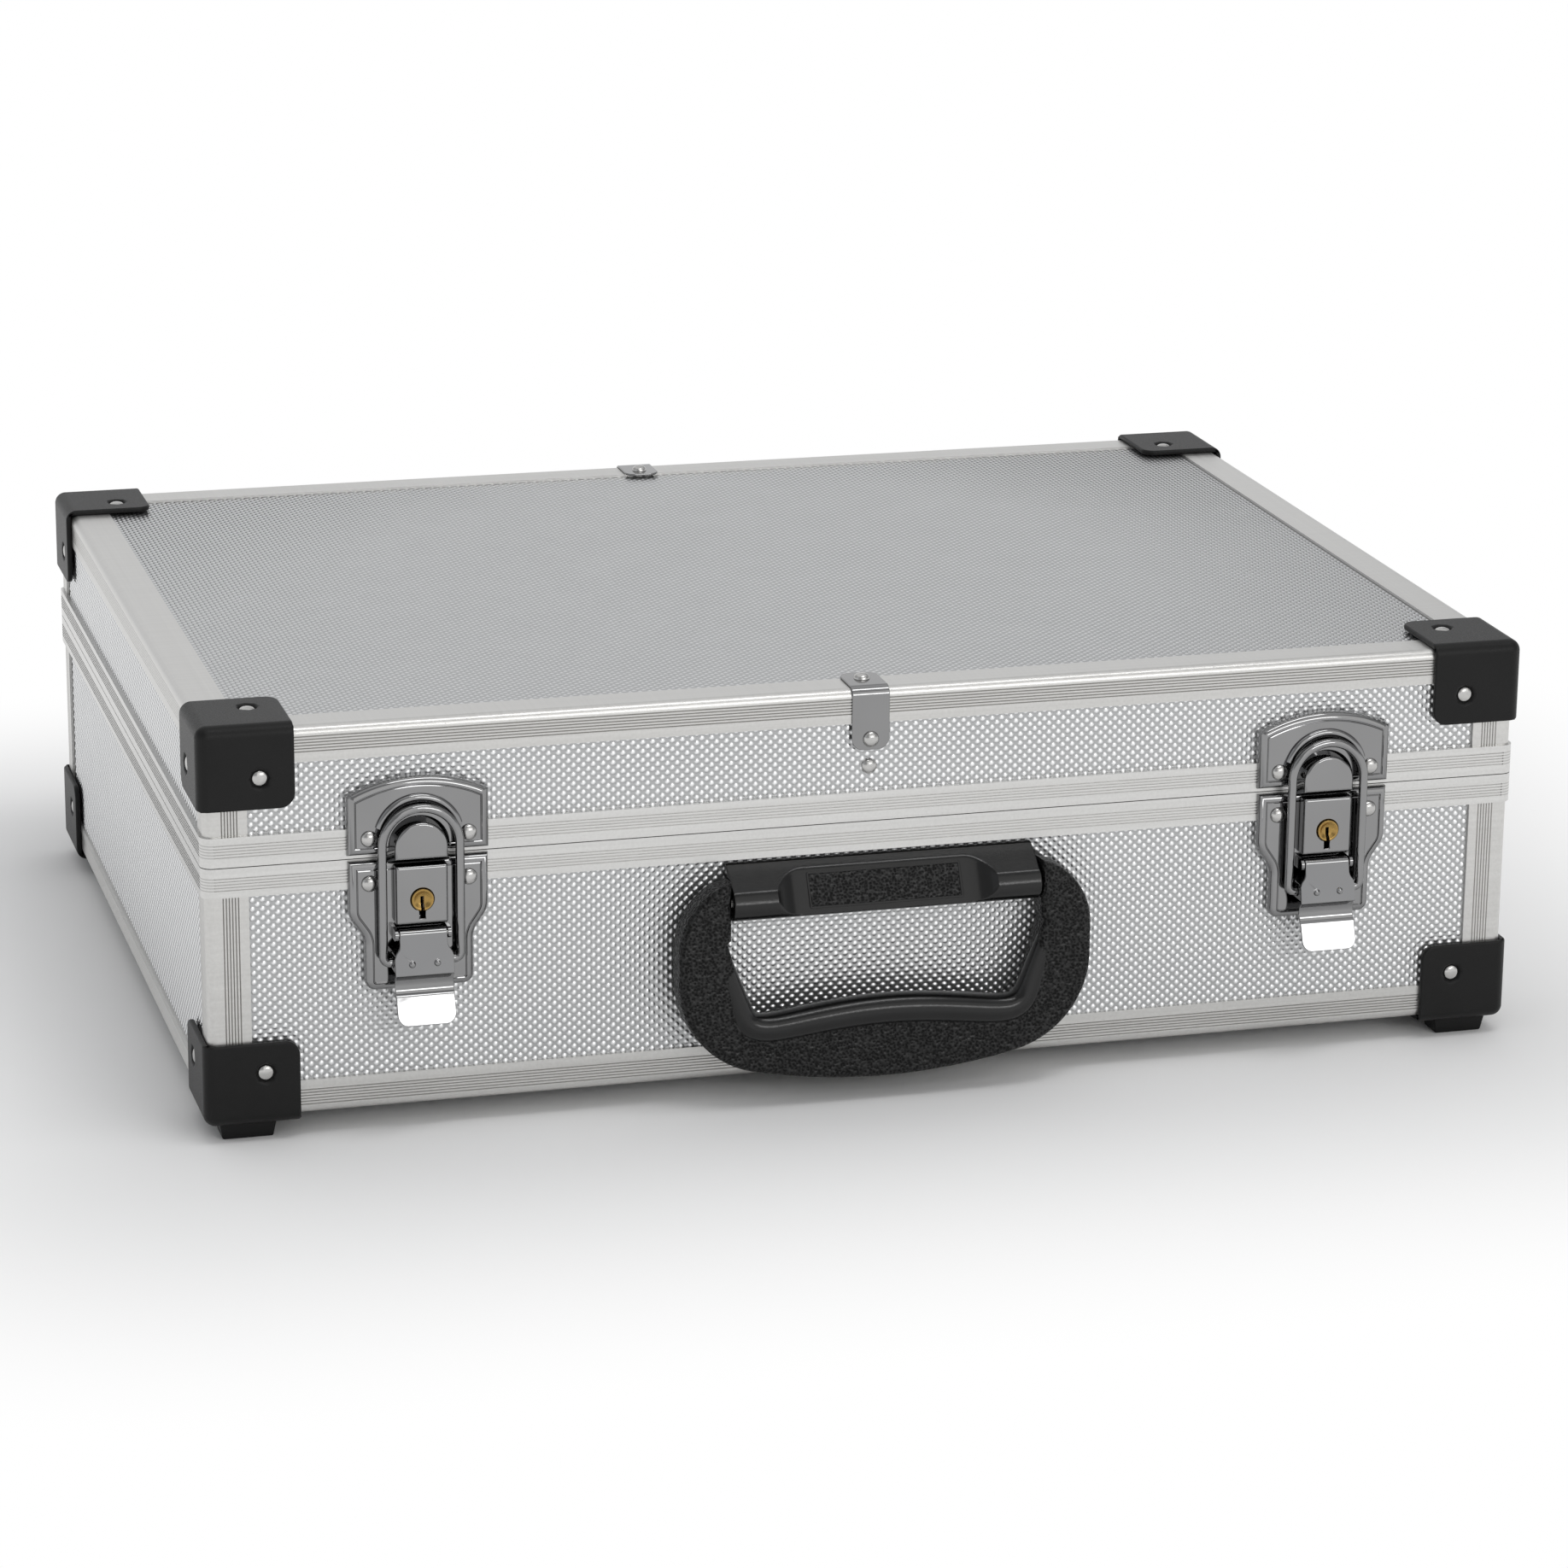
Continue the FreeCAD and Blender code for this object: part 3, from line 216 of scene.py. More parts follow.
# Boards
# Thin fibreboard with an aluminium skin, rolled with small round bumps in a staggered lattice.
# The boards slide into the channels of the profiles, and the bumps run on under the edges.
# Their backs are lined with dark felt.
noise_low, noise_high = 0.25, 0.75


def new_finish(name, metallic):
    """A material with its shader and the object's own coordinates, ready for its detail."""
    finish = bpy.data.materials.new(name)
    finish.use_nodes = True
    tree = finish.node_tree
    shader = tree.nodes["Principled BSDF"]
    shader.inputs["Metallic"].default_value = metallic
    place = tree.nodes.new("ShaderNodeTexCoord").outputs["Object"]
    return finish, tree, shader, place


def noise(tree, place, scale, detail):
    return add(tree, "ShaderNodeTexNoise", [("Vector", place), ("Scale", scale), ("Detail", detail)]).outputs["Fac"]


def blend_colours(tree, factor, first, second):
    node = add(tree, "ShaderNodeMix", [("Factor", factor)], data_type="RGBA")
    for socket, colour in ((node.inputs[6], first), (node.inputs[7], second)):
        if hasattr(colour, "is_output"):
            tree.links.new(colour, socket)
        else:
            socket.default_value = (*colour, 1)
    return node.outputs[2]


def paint(tree, shader, factor, dark, light):
    """Gives a shader a colour between two."""
    tree.links.new(blend_colours(tree, factor, dark, light), shader.inputs["Base Color"])


def roughen(tree, shader, pattern, low, high):
    """Lets a noise vary a shader's roughness from low to high."""
    tree.links.new(spread(tree, pattern, noise_low, noise_high, low, high), shader.inputs["Roughness"])


def bump(tree, shader, height, distance):
    node = add(tree, "ShaderNodeBump", [("Height", height), ("Distance", distance)])
    tree.links.new(node.outputs["Normal"], shader.inputs["Normal"])


def dress(finish, *names):
    """Puts a finish on CAD pieces."""
    for name in names:
        data = nodes[name].data
        data.materials.clear()
        data.materials.append(finish)


seam = (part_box("lid_rim_frame")[1][2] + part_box("base_rim_frame")[0][2]) / 2
middle_y = (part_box("base_bottom_panel")[0][1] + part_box("base_bottom_panel")[1][1]) / 2

skin_metallic = 0.9
# The skin's colour is painted light: bump tops are painted pale as a highlight and the valleys between bumps dark as
# painted shade.
valley_painted_shade, crest_painted_highlight = (0.44, 0.445, 0.45), (0.92, 0.925, 0.93)
crest_highlight_full = 0.9
felt_dark, felt_light = (0.012, 0.012, 0.013), (0.035, 0.035, 0.037)
skin, tree, shader, place = new_finish("dimpled_skin", skin_metallic)
from_middle = vector_node(tree, "SUBTRACT", place, (0, middle_y, seam))
facing = vector_node(tree, "DOT_PRODUCT", from_middle, place.node.outputs["Normal"], output="Value")
lined = math_node(tree, "LESS_THAN", facing, 0.0)
crest = add(tree, "ShaderNodeAttribute", attribute_name="crest").outputs["Fac"]
metal = blend_colours(tree, spread(tree, crest, 0.0, crest_highlight_full, 0.0, 1.0), valley_painted_shade, crest_painted_highlight)
felt = blend_colours(tree, noise(tree, place, scale=900.0, detail=4), felt_dark, felt_light)
tree.links.new(blend_colours(tree, lined, metal, felt), shader.inputs["Base Color"])
tree.links.new(spread(tree, lined, 0.0, 1.0, skin_metallic, 0.0), shader.inputs["Metallic"])
handled = spread(tree, noise(tree, place, scale=60.0, detail=3), noise_low, noise_high, low=0.27, high=0.35)
tree.links.new(math_node(tree, "MAXIMUM", handled, lined), shader.inputs["Roughness"])
bump(tree, shader, noise(tree, place, scale=2600.0, detail=2), distance=0.00002)
dress(skin, *[name for name in nodes if name.endswith("_panel")])

bump_pitch = 0.00335
bump_row = 0.00157
bump_width = 0.00215
bump_height = 0.0004
bump_tuck = 0.0012


def new_tree(name, *inputs):
    """A node tree with inputs given as (name, kind), which makes a mesh."""
    tree = bpy.data.node_groups.new(name, "GeometryNodeTree")
    for label, kind in inputs:
        tree.interface.new_socket(label, in_out="INPUT", socket_type="NodeSocket" + kind)
    tree.interface.new_socket("Geometry", in_out="OUTPUT", socket_type="NodeSocketGeometry")
    return tree, tree.nodes.new("NodeGroupInput").outputs


def end_tree(tree, geometry, finish):
    """Ends a node tree: instances made real and given their finish."""
    real = add(tree, "GeometryNodeRealizeInstances", [(0, geometry)])
    painted = add(tree, "GeometryNodeSetMaterial", [("Geometry", real.outputs[0]), ("Material", finish)])
    add(tree, "NodeGroupOutput", [(0, painted.outputs[0])])
    return tree


def bump_rows_tree():
    """Rows of low round bumps over a rectangle, every other row set half a pitch along."""
    tree, given = new_tree("bump_rows", ("Width", "Float"), ("Height", "Float"), ("Columns", "Int"),
                           ("Rows", "Int"), ("Sides", "Int"), ("Rings", "Int"), ("Bump", "Vector"),
                           ("Stagger", "Vector"), ("Finish", "Material"))
    rows = add(tree, "GeometryNodeMeshGrid", [("Size X", given["Width"]), ("Size Y", given["Height"]),
                                              ("Vertices X", given["Columns"]), ("Vertices Y", given["Rows"])])
    shifted = add(tree, "GeometryNodeTransform", [("Geometry", rows.outputs["Mesh"]),
                                                  ("Translation", given["Stagger"])])
    both = add(tree, "GeometryNodeJoinGeometry", [(0, rows.outputs["Mesh"])])
    tree.links.new(shifted.outputs["Geometry"], both.inputs[0])

    # A cone whose height follows the square of the distance from its middle is a round bump
    cone = add(tree, "GeometryNodeMeshCone", [("Vertices", given["Sides"]), ("Side Segments", given["Rings"]),
                                              ("Radius Top", 0.0), ("Radius Bottom", 0.5), ("Depth", 1.0)],
               fill_type="NONE")
    point = tree.nodes.new("GeometryNodeInputPosition").outputs[0]
    flat = vector_node(tree, "MULTIPLY", point, (1, 1, 0))
    square = vector_node(tree, "DOT_PRODUCT", flat, flat, output="Value")
    rise = math_node(tree, "MULTIPLY_ADD", square, -4.0, 1.0)
    lifted = vector_node(tree, "ADD", flat, add(tree, "ShaderNodeCombineXYZ", [("Z", rise)]).outputs[0])
    # Each bump's height is stored as crest, so that the skin can paint a highlight on the bump tops and shade in the
    # valleys.
    crested = add(tree, "GeometryNodeStoreNamedAttribute",
                  [("Geometry", cone.outputs["Mesh"]), ("Name", "crest"), ("Value", rise)], data_type="FLOAT")
    rounded = add(tree, "GeometryNodeSetPosition", [("Geometry", crested.outputs[0]), ("Position", lifted)])
    sized = add(tree, "GeometryNodeTransform", [("Geometry", rounded.outputs[0]), ("Scale", given["Bump"])])
    smooth = add(tree, "GeometryNodeSetShadeSmooth", [(0, sized.outputs[0])])
    placed = add(tree, "GeometryNodeInstanceOnPoints", [("Points", both.outputs[0]), ("Instance", smooth.outputs[0])])
    return end_tree(tree, placed.outputs[0], given["Finish"])


def baked(data, kind, inputs=(), **settings):
    """The plain mesh that a modifier makes of a mesh or a curve."""
    holder = bpy.data.objects.new("holder", data)
    scene.collection.objects.link(holder)
    modifier = holder.modifiers.new(kind.lower(), kind)
    for key, value in settings.items():
        setattr(modifier, key, value)
    for identifier, value in inputs:
        modifier[identifier] = value
    mesh = bpy.data.meshes.new_from_object(holder.evaluated_get(bpy.context.evaluated_depsgraph_get()))
    bpy.data.objects.remove(holder)
    return mesh


def grown(tree, values, start=None):
    """The plain mesh that a node tree makes from its named sizes."""
    inputs = [(item.identifier, values[item.name]) for item in tree.interface.items_tree if item.name in values]
    return baked(start or bpy.data.meshes.new("holder"), "NODES", inputs, node_group=tree)


def piece_of(name, mesh, body):
    """A finished piece that rides on a body."""
    mesh.name = name
    piece = bpy.data.objects.new(name, mesh)
    scene.collection.objects.link(piece)
    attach(piece, body)
    return piece


bump_rows = bump_rows_tree()


def bumps(name, body, width, height, sides, rings, turn):
    """Bumps over a width by height opening between profiles, tucked a little under their edges."""
    columns = int((width + 2 * bump_tuck) / bump_pitch)
    rows = int((height + 2 * bump_tuck) / (2 * bump_row))
    mesh = grown(bump_rows, {"Width": (columns - 1) * bump_pitch, "Height": (rows - 1) * 2 * bump_row,
                             "Columns": columns, "Rows": rows, "Sides": sides, "Rings": rings,
                             "Bump": (bump_width, bump_width, bump_height),
                             "Stagger": (bump_pitch / 2, bump_row, 0), "Finish": skin})
    mesh.transform(turn @ Matrix.Translation((-bump_pitch / 4, -bump_row / 2, 0)))
    piece_of(name, mesh, body)


upright = Matrix.Rotation(math.pi / 2, 4, "X")
heights = {"lid": (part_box("lid_rim_frame")[1][2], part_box("lid_front_edge_profile")[0][2]),
           "base": (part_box("base_front_edge_profile")[1][2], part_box("base_rim_frame")[0][2])}
for part, level in (("lid", "lid_top"), ("base", "base_bottom")):
    x0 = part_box(part + "_left_edge_profile")[1][0]
    x1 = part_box(part + "_right_edge_profile")[0][0]
    y0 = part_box(part + "_front_edge_profile")[1][1]
    y1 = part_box(part + "_back_edge_profile")[0][1]
    z0, z1 = heights[part]
    low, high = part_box(level + "_panel")
    middle = ((x0 + x1) / 2, (y0 + y1) / 2, (z0 + z1) / 2)
    flat_turn = Matrix.Translation((middle[0], middle[1], high[2]))
    if part == "base":
        flat_turn = Matrix.Translation((middle[0], middle[1], low[2])) @ Matrix.Rotation(math.pi, 4, "X")
    bumps(level + "_bumps", part, x1 - x0, y1 - y0, sides=6, rings=1, turn=flat_turn)
    for side, width, at, turn in (
            ("front", x1 - x0, (middle[0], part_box(part + "_front_panel")[0][1], middle[2]), 0),
            ("back", x1 - x0, (middle[0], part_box(part + "_back_panel")[1][1], middle[2]), math.pi),
            ("left", y1 - y0, (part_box(part + "_left_panel")[0][0], middle[1], middle[2]), -math.pi / 2),
            ("right", y1 - y0, (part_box(part + "_right_panel")[1][0], middle[1], middle[2]), math.pi / 2)):
        bumps(f"{part}_{side}_bumps", part, width, z1 - z0, sides=8, rings=2,
              turn=Matrix.Translation(at) @ Matrix.Rotation(turn, 4, "Z") @ upright)

# Edge profiles, corner posts and rims
# Aluminium extrusions, satin anodised, with fine die lines along their length and grooves in
# their faces, darkened by painted shade from an occlusion pass. The rims are bent round the corners in one piece, and
# round the bends their grooves are only painted on as dark lines of shade.
case_half = [(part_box("base_rim_frame")[1][axis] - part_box("base_rim_frame")[0][axis]) / 2 for axis in range(2)]
rim_bend = 0.004
rim_groove_first = 0.0036
rim_groove_pitch = 0.001
rim_groove_count = 5
line_core, line_edge = 0.12, 0.26
groove_depth = 0.0006
groove_shut, groove_open = 0.3, 0.8
lines_along, lines_across = 6, 900
lines_low, lines_high = 0.6, 1.4


def anodised(name, dull, bright, groove_shade_colour, bent):
    """Drawn and anodised aluminium with painted shade in its grooves; on a bent rim the grooves run on round the
    bends as painted dark lines only.
    """
    finish, tree, shader, place = new_finish(name, metallic=0.9)
    along_x = add(tree, "ShaderNodeMapping",
                  [("Vector", place), ("Scale", (lines_along, lines_across, lines_across))]).outputs[0]
    along_y = add(tree, "ShaderNodeMapping",
                  [("Vector", place), ("Scale", (lines_across, lines_along, lines_across))]).outputs[0]
    lines = math_node(tree, "ADD", noise(tree, along_x, 1.0, detail=3), noise(tree, along_y, 1.0, detail=3))
    metal = blend_colours(tree, spread(tree, lines, lines_low, lines_high, 0.0, 1.0), dull, bright)
    # Painted shade: the colour darkens towards the shade colour where the occlusion pass finds grooves and hollows.
    open_sky = add(tree, "ShaderNodeAmbientOcclusion", [("Distance", groove_depth)], samples=8,
                   only_local=True).outputs["AO"]
    groove_shade = spread(tree, open_sky, groove_shut, groove_open, 0.0, 1.0)
    if bent:
        # Round the bends of a rim, where no groove is modelled, dark lines are painted as shade at the groove
        # heights.
        axes = add(tree, "ShaderNodeSeparateXYZ", [(0, place)]).outputs
        apart = math_node(tree, "ABSOLUTE", math_node(tree, "SUBTRACT", axes["Z"], seam))
        first = rim_groove_first - rim_groove_pitch / 2
        last = first + rim_groove_count * rim_groove_pitch
        counted = spread(tree, apart, first, last, 0.0, float(rim_groove_count))
        off_line = math_node(tree, "ABSOLUTE", math_node(tree, "SUBTRACT", math_node(tree, "FRACT", counted), 0.5))
        at_x = math_node(tree, "GREATER_THAN", math_node(tree, "ABSOLUTE", axes["X"]), case_half[0] - rim_bend)
        from_middle = math_node(tree, "ABSOLUTE", math_node(tree, "SUBTRACT", axes["Y"], middle_y))
        at_y = math_node(tree, "GREATER_THAN", from_middle, case_half[1] - rim_bend)
        bend = math_node(tree, "MULTIPLY", at_x, at_y)
        line = math_node(tree, "MULTIPLY", bend, spread(tree, off_line, line_core, line_edge, 1.0, 0.0))
        groove_shade = math_node(tree, "MULTIPLY", groove_shade, math_node(tree, "SUBTRACT", 1.0, line))
    paint(tree, shader, groove_shade, groove_shade_colour, metal)
    tree.links.new(spread(tree, lines, lines_low, lines_high, low=0.28, high=0.4), shader.inputs["Roughness"])
    bump(tree, shader, lines, distance=0.00002)
    return finish


profile_finish = anodised("anodised_profile", dull=(0.56, 0.555, 0.54), bright=(0.66, 0.655, 0.64),
                          groove_shade_colour=(0.56, 0.555, 0.54), bent=False)
dress(profile_finish, *[name for name in nodes if name.endswith(("_edge_profile", "_posts"))])
rim_finish = anodised("anodised_rim", dull=(0.6, 0.597, 0.585), bright=(0.7, 0.697, 0.685),
                      groove_shade_colour=(0.46, 0.455, 0.445), bent=True)
dress(rim_finish, "lid_rim_frame", "base_rim_frame")

# Moulded corners
# Black glass-filled plastic with a fine spark-eroded grain and soft edges, riveted over the
# corners; each lower corner has its foot moulded on.
weld = 1e-6
flat_angle = math.radians(1)
edge_angle = math.radians(32)
crease_angle = math.radians(40)


def welded(name):
    """A CAD node's triangles, joined."""
    shape = bmesh.new()
    shape.from_mesh(nodes[name].data)
    bmesh.ops.remove_doubles(shape, verts=shape.verts, dist=weld)
    return shape


def shaded(shape, finish):
    """The plain mesh of a shape, shaded smooth up to its creases."""
    for face in shape.faces:
        face.smooth = True
    data = bpy.data.meshes.new("shaded")
    shape.to_mesh(data)
    shape.free()
    data.set_sharp_from_angle(angle=crease_angle)
    mesh = baked(data, "WEIGHTED_NORMAL", keep_sharp=True)
    mesh.materials.append(finish)
    return mesh


def softened(name, width, rounds, finish):
    """Puts a piece in place of a CAD node: the same shape with its sharp outer edges rounded."""
    shape = welded(name)
    bmesh.ops.dissolve_limit(shape, angle_limit=flat_angle, verts=shape.verts, edges=shape.edges)
    sharp = [edge for edge in shape.edges if len(edge.link_faces) == 2 and edge.is_convex
             and edge.calc_face_angle() > edge_angle]
    bmesh.ops.bevel(shape, geom=sharp, offset=width, offset_type="OFFSET", segments=rounds, profile=0.5,
                    affect="EDGES", clamp_overlap=False)
    piece = piece_of(name + "_soft", shaded(shape, finish), body_of(nodes[name])[0])
    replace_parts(piece, name)


moulded, tree, shader, place = new_finish("corner_plastic", metallic=0.0)
grain = noise(tree, place, scale=2200.0, detail=3)
shader.inputs["Specular IOR Level"].default_value = 0.22
paint(tree, shader, noise(tree, place, scale=70.0, detail=4),
      dark=(0.005, 0.005, 0.005), light=(0.009, 0.009, 0.009))
roughen(tree, shader, grain, low=0.34, high=0.5)
bump(tree, shader, grain, distance=0.00006)
for name in [name for name in nodes if "_corner_" in name and not name.endswith(("_posts", "_rivets"))]:
    softened(name, width=0.0007, rounds=3, finish=moulded)

# Rivets and pins
# Dome-headed steel rivets through the corners, clips, latches and hinges, and the plain drawn
# pins of the hinges, levers and handle.
drawn, tree, shader, place = new_finish("drawn_steel", metallic=1.0)
paint(tree, shader, noise(tree, place, scale=500.0, detail=3),
      dark=(0.44, 0.44, 0.43), light=(0.58, 0.57, 0.56))
roughen(tree, shader, noise(tree, place, scale=900.0, detail=3), low=0.14, high=0.26)
dress(drawn, *[name for name in nodes if name.endswith(("_pins", "_screws"))])

rivet_radius = 0.0028
rivet_rise = 0.0018
sunk_rivet_rise = 0.0012
head_foot = -0.01


def dome_heads_tree():
    """A domed head on each point, turned to face along the point's outward attribute."""
    tree, given = new_tree("dome_heads", ("Geometry", "Geometry"), ("Head", "Vector"), ("Finish", "Material"))
    ball = add(tree, "GeometryNodeMeshUVSphere", [("Segments", 20), ("Rings", 12), ("Radius", 1.0)])
    depth = add(tree, "ShaderNodeSeparateXYZ", [(0, tree.nodes.new("GeometryNodeInputPosition").outputs[0])])
    half = add(tree, "GeometryNodeDeleteGeometry",
               [("Geometry", ball.outputs["Mesh"]),
                ("Selection", math_node(tree, "LESS_THAN", depth.outputs["Z"], head_foot))])
    sized = add(tree, "GeometryNodeTransform", [("Geometry", half.outputs[0]), ("Scale", given["Head"])])
    smooth = add(tree, "GeometryNodeSetShadeSmooth", [(0, sized.outputs[0])])
    outward = add(tree, "GeometryNodeInputNamedAttribute", [("Name", "outward")], data_type="FLOAT_VECTOR")
    turned = add(tree, "FunctionNodeAlignRotationToVector", [("Vector", outward.outputs[0])], axis="Z")
    placed = add(tree, "GeometryNodeInstanceOnPoints",
                 [("Points", given["Geometry"]), ("Instance", smooth.outputs[0]), ("Rotation", turned.outputs[0])])
    return end_tree(tree, placed.outputs[0], given["Finish"])


def rivet_seats(name):
    """The middle of each rivet's seat in a CAD group, and the way its head faces."""
    shape = welded(name)
    waiting = set(shape.verts)
    seats = []
    while waiting:
        island = [waiting.pop()]
        for vertex in island:
            for edge in vertex.link_edges:
                other = edge.other_vert(vertex)
                if other in waiting:
                    waiting.remove(other)
                    island.append(other)
        low = [min(vertex.co[axis] for vertex in island) for axis in range(3)]
        high = [max(vertex.co[axis] for vertex in island) for axis in range(3)]
        thin = min(range(3), key=lambda axis: high[axis] - low[axis])
        seat = [(low[axis] + high[axis]) / 2 for axis in range(3)]
        outer = seat[thin] > (0, middle_y, seam)[thin]
        seat[thin] = low[thin] if outer else high[thin]
        outward = [0.0, 0.0, 0.0]
        outward[thin] = 1.0 if outer else -1.0
        seats.append((seat, outward))
    shape.free()
    return sorted(seats)


dome_heads = dome_heads_tree()
for name in [name for name in nodes if name.endswith("_rivets")]:
    seats = rivet_seats(name)
    points = bpy.data.meshes.new("seats")
    points.from_pydata([seat for seat, outward in seats], [], [])
    facing = points.attributes.new("outward", "FLOAT_VECTOR", "POINT")
    for index, (seat, outward) in enumerate(seats):
        facing.data[index].vector = outward
    rise = sunk_rivet_rise if "_corner_" in name else rivet_rise
    mesh = grown(dome_heads, {"Head": (rivet_radius, rivet_radius, rise), "Finish": drawn}, points)
    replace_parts(piece_of(name + "_domes", mesh, body_of(nodes[name])[0]), name)

# Latches, clips and hinges
# Pressed steel, bright plated, with rolled edges and the faint waviness of pressed sheet. The
# plates and clips are riveted on; the levers and bails hang on pins.
# The plating is painted near black as shade where an occlusion pass finds creases and the joins with rivets, bails
# and other parts.
crease_depth = 0.0025
crease_shut, crease_open = 0.25, 0.75
crease_shade_colour = (0.03, 0.03, 0.03)
plated, tree, shader, place = new_finish("bright_plate", metallic=1.0)
bright = blend_colours(tree, noise(tree, place, scale=45.0, detail=2), (0.25, 0.25, 0.252), (0.29, 0.29, 0.292))
open_sky = add(tree, "ShaderNodeAmbientOcclusion", [("Distance", crease_depth)], samples=8).outputs["AO"]
paint(tree, shader, spread(tree, open_sky, crease_shut, crease_open, 0.0, 1.0), crease_shade_colour, bright)
roughen(tree, shader, noise(tree, place, scale=700.0, detail=4), low=0.04, high=0.09)
bump(tree, shader, noise(tree, place, scale=120.0, detail=2), distance=0.00004)


def rounded_path(corners, steps=10):
    """A closed outline through corners given as (x, z, radius), each corner turned by an arc."""
    path = []
    for index, (x, z, radius) in enumerate(corners):
        here = Vector((x, z))
        before = (Vector(corners[index - 1][:2]) - here).normalized()
        after = (Vector(corners[(index + 1) % len(corners)][:2]) - here).normalized()
        if radius == 0:
            path.append(here)
            continue
        half = before.angle(after) / 2
        middle = here + (before + after).normalized() * (radius / math.sin(half))
        start = here + before * (radius / math.tan(half)) - middle
        end = here + after * (radius / math.tan(half)) - middle
        sweep = start.angle_signed(end)
        for step in range(steps + 1):
            turn = -sweep * step / steps
            path.append(middle + Vector((start.x * math.cos(turn) - start.y * math.sin(turn),
                                         start.x * math.sin(turn) + start.y * math.cos(turn))))
    return path


mitre_limit = 0.3


def drawn_in(path, inset):
    """A closed outline moved inwards by an inset; the outline runs anticlockwise."""
    moved = []
    for index, here in enumerate(path):
        before = (here - path[index - 1]).normalized()
        after = (path[(index + 1) % len(path)] - here).normalized()
        square = Vector((-after.y, after.x))
        inward = (Vector((-before.y, before.x)) + square).normalized()
        moved.append(here + inward * (inset / max(mitre_limit, inward.dot(square))))
    return moved


def bridged(shape, rings, capped=True):
    """Joins rings of points by walls, with both ends capped or the last ring joined to the first."""
    for lower, upper in zip(rings, rings[1:] if capped else rings[1:] + rings[:1]):
        for index in range(len(lower)):
            after = (index + 1) % len(lower)
            shape.faces.new((lower[index], lower[after], upper[after], upper[index]))
    if capped:
        shape.faces.new(rings[-1])
        shape.faces.new(list(reversed(rings[0])))


def pressed(shape, path, wall, middle_x, capped=True):
    """Adds a pressed form to a mesh: its outline at each (inset, y) of its wall."""
    bridged(shape, [[shape.verts.new((middle_x + point.x, y, point.y)) for point in drawn_in(path, inset)]
                    for inset, y in wall], capped)


def extruded(shape, path, start_x, end_x):
    """Adds a plate to a mesh: an outline given as (y, z), drawn along x."""
    bridged(shape, [[shape.verts.new((x, point.x, point.y)) for point in path] for x in (start_x, end_x)])


def shoulder(foot_y, face_y, radius, draft=0.0, steps=6, coined=0.0):
    """A pressed form's wall: up from its foot and rolled over into its face, with or without a coined line."""
    wall = [(0.0, foot_y), (draft, face_y + radius)]
    for step in range(1, steps + 1):
        turn = math.pi / 2 * step / steps
        wall.append((draft + radius * (1 - math.cos(turn)), face_y + radius * (1 - math.sin(turn))))
    if coined:
        start = draft + radius + coined
        end = start + 0.4 * coined
        wall += [(start, face_y + coined), (end, face_y + coined), (end + coined, face_y)]
    return wall


def rod_tree():
    """A round rod along a path, as thick as the path says, with closed ends."""
    tree, given = new_tree("rod", ("Geometry", "Geometry"), ("Sides", "Int"), ("Finish", "Material"))
    ring = add(tree, "GeometryNodeCurvePrimitiveCircle", [("Resolution", given["Sides"]), ("Radius", 1.0)])
    thickness = tree.nodes.new("GeometryNodeInputRadius").outputs[0]
    swept = add(tree, "GeometryNodeCurveToMesh",
                [("Curve", given["Geometry"]), ("Profile Curve", ring.outputs["Curve"]), ("Scale", thickness),
                 ("Fill Caps", True)])
    smooth = add(tree, "GeometryNodeSetShadeSmooth", [(0, swept.outputs["Mesh"])])
    return end_tree(tree, smooth.outputs[0], given["Finish"])


def rod_path(points, kind, steps=1):
    """A path through points given as (place, radius)."""
    curve = bpy.data.curves.new("rod_path", "CURVE")
    curve.dimensions = "3D"
    spline = curve.splines.new(kind)
    spline.points.add(len(points) - 1)
    for point, (place, radius) in zip(spline.points, points):
        point.co = (*place, 1)
        point.radius = radius
    spline.order_u = 4
    spline.use_endpoint_u = True
    spline.resolution_u = steps
    return curve


rod = rod_tree()
rod_sides = 16


def finished(shape, name, finish, slot, body, *replaced):
    """Turns a mesh's faces outwards, shades it and puts it in place of CAD nodes."""
    shape.normal_update()
    wide = [face for face in shape.faces if len(face.verts) > 4]
    bmesh.ops.triangulate(shape, faces=wide, ngon_method="EAR_CLIP")
    bmesh.ops.recalc_face_normals(shape, faces=shape.faces)
    piece = piece_of(name, shaded(shape, finish), body)
    if replaced:
        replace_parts(piece, *replaced)


def arc_points(middle_z, radius, start, end, steps, middle_x=0.0):
    """Points along an arc."""
    return [Vector((middle_x + radius * math.cos(turn), middle_z + radius * math.sin(turn)))
            for turn in (start + (end - start) * step / steps for step in range(steps + 1))]


quarter_turn = math.pi / 2
board_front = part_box("base_front_panel")[0][1]
latch_middle = {side: sum(corner[0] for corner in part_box(f"latch_{side}_lock_case")) / 2
                for side in ("left", "right")}
plate_height = 0.0049
plate_face = board_front - plate_height
plate_roll = 0.0024
coined_line = 0.0003
plate_wall = shoulder(board_front, plate_face, plate_roll, coined=coined_line)

